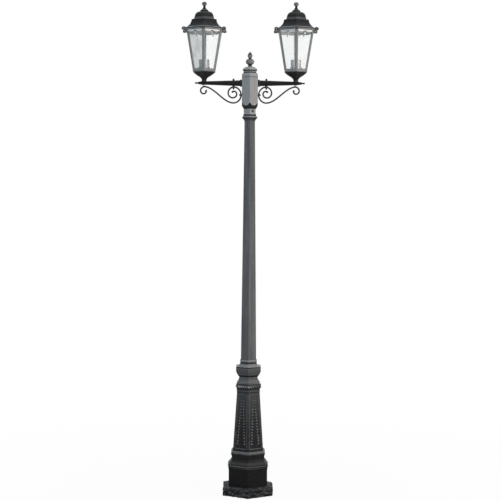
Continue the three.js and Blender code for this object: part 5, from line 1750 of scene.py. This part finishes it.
eave_z = cage_head - eave_overlap
skirt_z = eave_z + eave_height + eave_slope
step_z = skirt_z + skirt_height
drum_z = step_z + step_height
dome_z = drum_z + drum_height
roof_top = dome_z + dome_height
roof_socket = cage_head_half + 2 * seat_gap
roof_shoulder = cage_head_half - 2 * cage_wall
roof_seat = cage_head + seat_gap
roof_profile = rounded([
    (0, roof_top - roof_wall),
    *bow((dome_high_half - roof_wall, roof_top - roof_wall),
         (drum_high_half - roof_wall, dome_z - roof_wall), -0.16),
    (drum_half - roof_wall, step_z - roof_wall),
    *bow((skirt_high_half - roof_wall, step_z - roof_wall),
         (roof_shoulder, roof_seat + roof_wall), 0.13, 12),
    (roof_shoulder, roof_seat),
    (roof_socket, roof_seat),
    (roof_socket, eave_z, 0.5),
    (eave_half, eave_z, 0.8, 0.6),
    (eave_half, eave_z + eave_height * 0.65, 0, 0.9),
    # Painted shade: a dark line in the step at the top of the fascia, under the skirt's foot
    (eave_half - 0.6 * mm, eave_z + eave_height * 0.7, 0, -1),
    (eave_half - 0.6 * mm, eave_z + eave_height, 0.6, -1),
    (eave_half - 0.5 * eave_slope_run, skirt_z - 0.7 * mm, 0, -0.8),
    # The skirt's upper slope is paler: painted light from above, with rubbed paint
    *worn_and_shaded(bow((eave_half - eave_slope_run, skirt_z), (skirt_high_half, step_z), -0.13, 16),
            0.9, 0.9, 0.7, 0),
    (skirt_high_half, drum_z, 0.8, 0.2),
    *worn_and_shaded(bow((drum_half, drum_z), (drum_high_half, dome_z), -0.05), -0.5, 0.2, 0.4, 0.1, 0.4, 0.2),
    *worn_and_shaded(bow((drum_high_half, dome_z + 0.4 * mm), (dome_high_half, roof_top), 0.16, 12)[:-1], 0),
    (dome_high_half, roof_top, 0.8, 0.1),
    (0, roof_top),
])


def curled_leaf():
    """The leaf at an eave's corner: a slab with round edges whose cheeks are sunk inside a rim.

    A rim is its share of the outline, its share of the width, and its wear."""
    corner = eave_half / cos30
    outline = [Vector((corner + out * ear_reach, eave_z + up * eave_height)) for out, up in ear_shares]
    middle = Vector((sum(p[0] for p in outline), sum(p[1] for p in outline))) / len(outline)
    closed = []
    for i in range(len(outline)):
        a, b, c, d = (outline[(i + shift) % len(outline)] for shift in (-1, 0, 1, 2))
        for t in (0, 0.25, 0.5, 0.75):
            bend = (a * 2 - b * 5 + c * 4 - d) * t ** 2 + (b * 3 - a - c * 3 + d) * t ** 3
            closed.append((b * 2 + (c - a) * t + bend) / 2)
    points, wear_and_shading, faces = [], [], []
    for side in (-1, 1):
        for inset, aside, edge in ear_rims:
            for spot in closed:
                place = middle + (spot - middle) * max(inset, 0.05)
                points.append((place.x, side * aside * ear_width / 2, place.y))
                wear_and_shading.append(edge)
    count, rows = len(closed), len(ear_rims)
    for side in range(2):
        for row in range(rows - 1):
            low = (side * rows + row) * count
            for i in range(count):
                face = (low + i, low + (i + 1) % count, low + (i + 1) % count + count, low + i + count)
                faces.append(face if side else face[::-1])
        cap = tuple(range((side * rows + rows - 1) * count, (side * rows + rows) * count))
        faces.append(cap if side else cap[::-1])
    for i in range(count):
        j = (i + 1) % count
        faces.append((i, j, rows * count + j, rows * count + i))
    return built(points, faces, wear_and_shading)


def inside_roof(vertex, reach):
    x, y, z = vertex.co
    inward = vertex.normal.z < -0.05 or vertex.normal.x * x + vertex.normal.y * y < 0
    return inward and reach < roof_socket + 0.1 * mm and z > eave_z + 1 * mm


leaf_shape = curled_leaf()
leaves = []
for turn in face_turns:
    leaf = leaf_shape.copy()
    leaf.transform(Matrix.Rotation(turn + math.pi / 6, 4, "Z"))
    leaves.append(leaf)
thumb_z = eave_z + eave_overlap / 2
thumb_turns = (0, math.pi)
stud_hole = bar(stud_radius + seat_gap, dome_z, roof_top + roof_wall)
thumb_holes = [laid(bar(thumb_hole, cage_head_half, eave_half + ear_reach), turn, thumb_z)
               for turn in thumb_turns]
roof_mesh = welded(revolved(roof_profile, hexagon(1.6 * mm, flat_steps=12)), *leaves)
roof_mesh = moved(lined(cut(roof_mesh, stud_hole, *thumb_holes), inside_roof), lantern_reach)


# Roof knobs. Turned: a foot, a cone, a thin waist and a small pointed ball, screwed into the dome.
knob_foot_radius = 19 * mm
knob_foot_height = 8 * mm
knob_cone_radius = 15.5 * mm
knob_waist_radius = 5.4 * mm
knob_waist_height = 23 * mm
knob_neck_height = 4 * mm
knob_radius = 11.4 * mm
knob_height = 45 * mm

knob_low = roof_top + seat_gap
knob_foot_top = knob_low + knob_foot_height
knob_waist = knob_low + knob_waist_height
knob_neck = knob_waist + knob_neck_height
knob_middle = knob_low + knob_height - knob_radius / 2
knob_profile = rounded([
    (0, roof_top - roof_wall),
    (stud_radius, roof_top - roof_wall),
    (stud_radius, knob_low),
    (knob_foot_radius, knob_low, 1),
    (knob_foot_radius, knob_foot_top, 1.4),
    (knob_cone_radius, knob_foot_top, 0.6),
    *bow((knob_cone_radius - 0.5 * mm, knob_foot_top + 0.5 * mm), (knob_waist_radius, knob_waist), -0.1),
    (knob_waist_radius, knob_neck, 1),
    *worn_and_shaded(bow((knob_waist_radius, knob_neck), (knob_radius, knob_middle), 0.15)[1:-1], 0, 0.6),
    (knob_radius, knob_middle, 1.2, 0.4),
    *worn_and_shaded(bow((knob_radius, knob_middle), (0, knob_low + knob_height), 0.2, 12)[1:], 0.4, 0.2, 0),
])


# Roof screws. Two thumb screws with a grooved rim hold each roof on its cage.
thumb_radius = 2 * mm
thumb_head_radius = 4 * mm
thumb_head_height = 4 * mm
thumb_ribs = 20
thumb_rib_depth = 0.25 * mm


def ribbed(half, height):
    """The section of a thumb screw: a circle, grooved where the head is."""
    points = []
    for step in range(8 * thumb_ribs):
        turn = 2 * math.pi * step / (8 * thumb_ribs)
        depth = thumb_rib_depth * (1 - math.cos(thumb_ribs * turn)) if half > 0.8 * thumb_head_radius else 0
        points.append(((half - depth) * math.cos(turn), (half - depth) * math.sin(turn), 0))
    return points


thumb_seat = eave_half + seat_gap
thumb_profile = rounded([
    (0, cage_head_half + seat_gap),
    (thumb_radius, cage_head_half + seat_gap, 0.6),
    (thumb_radius, thumb_seat),
    (thumb_head_radius, thumb_seat, 0.5),
    (thumb_head_radius, thumb_seat + thumb_head_height, 0.7),
    (0, thumb_seat + thumb_head_height),
])
knob_mesh = moved(revolved(knob_profile, circle(64)), lantern_reach)
thumb_screws = [moved(laid(revolved(thumb_profile, ribbed), turn, thumb_z), lantern_reach)
                for turn in thumb_turns]
both_sides(
    ("hood", roof_mesh, roof_black, "black_casting", "roof", 30),
    ("knob", knob_mesh, roof_black, "black_casting", "roof_knob", 40),
    *[(f"thumb_screw_{i + 1}", screw, zinc, "zinc_steel", f"roof_screw_{i + 1}", 40)
      for i, screw in enumerate(thumb_screws)],
    body="{side}_roof")
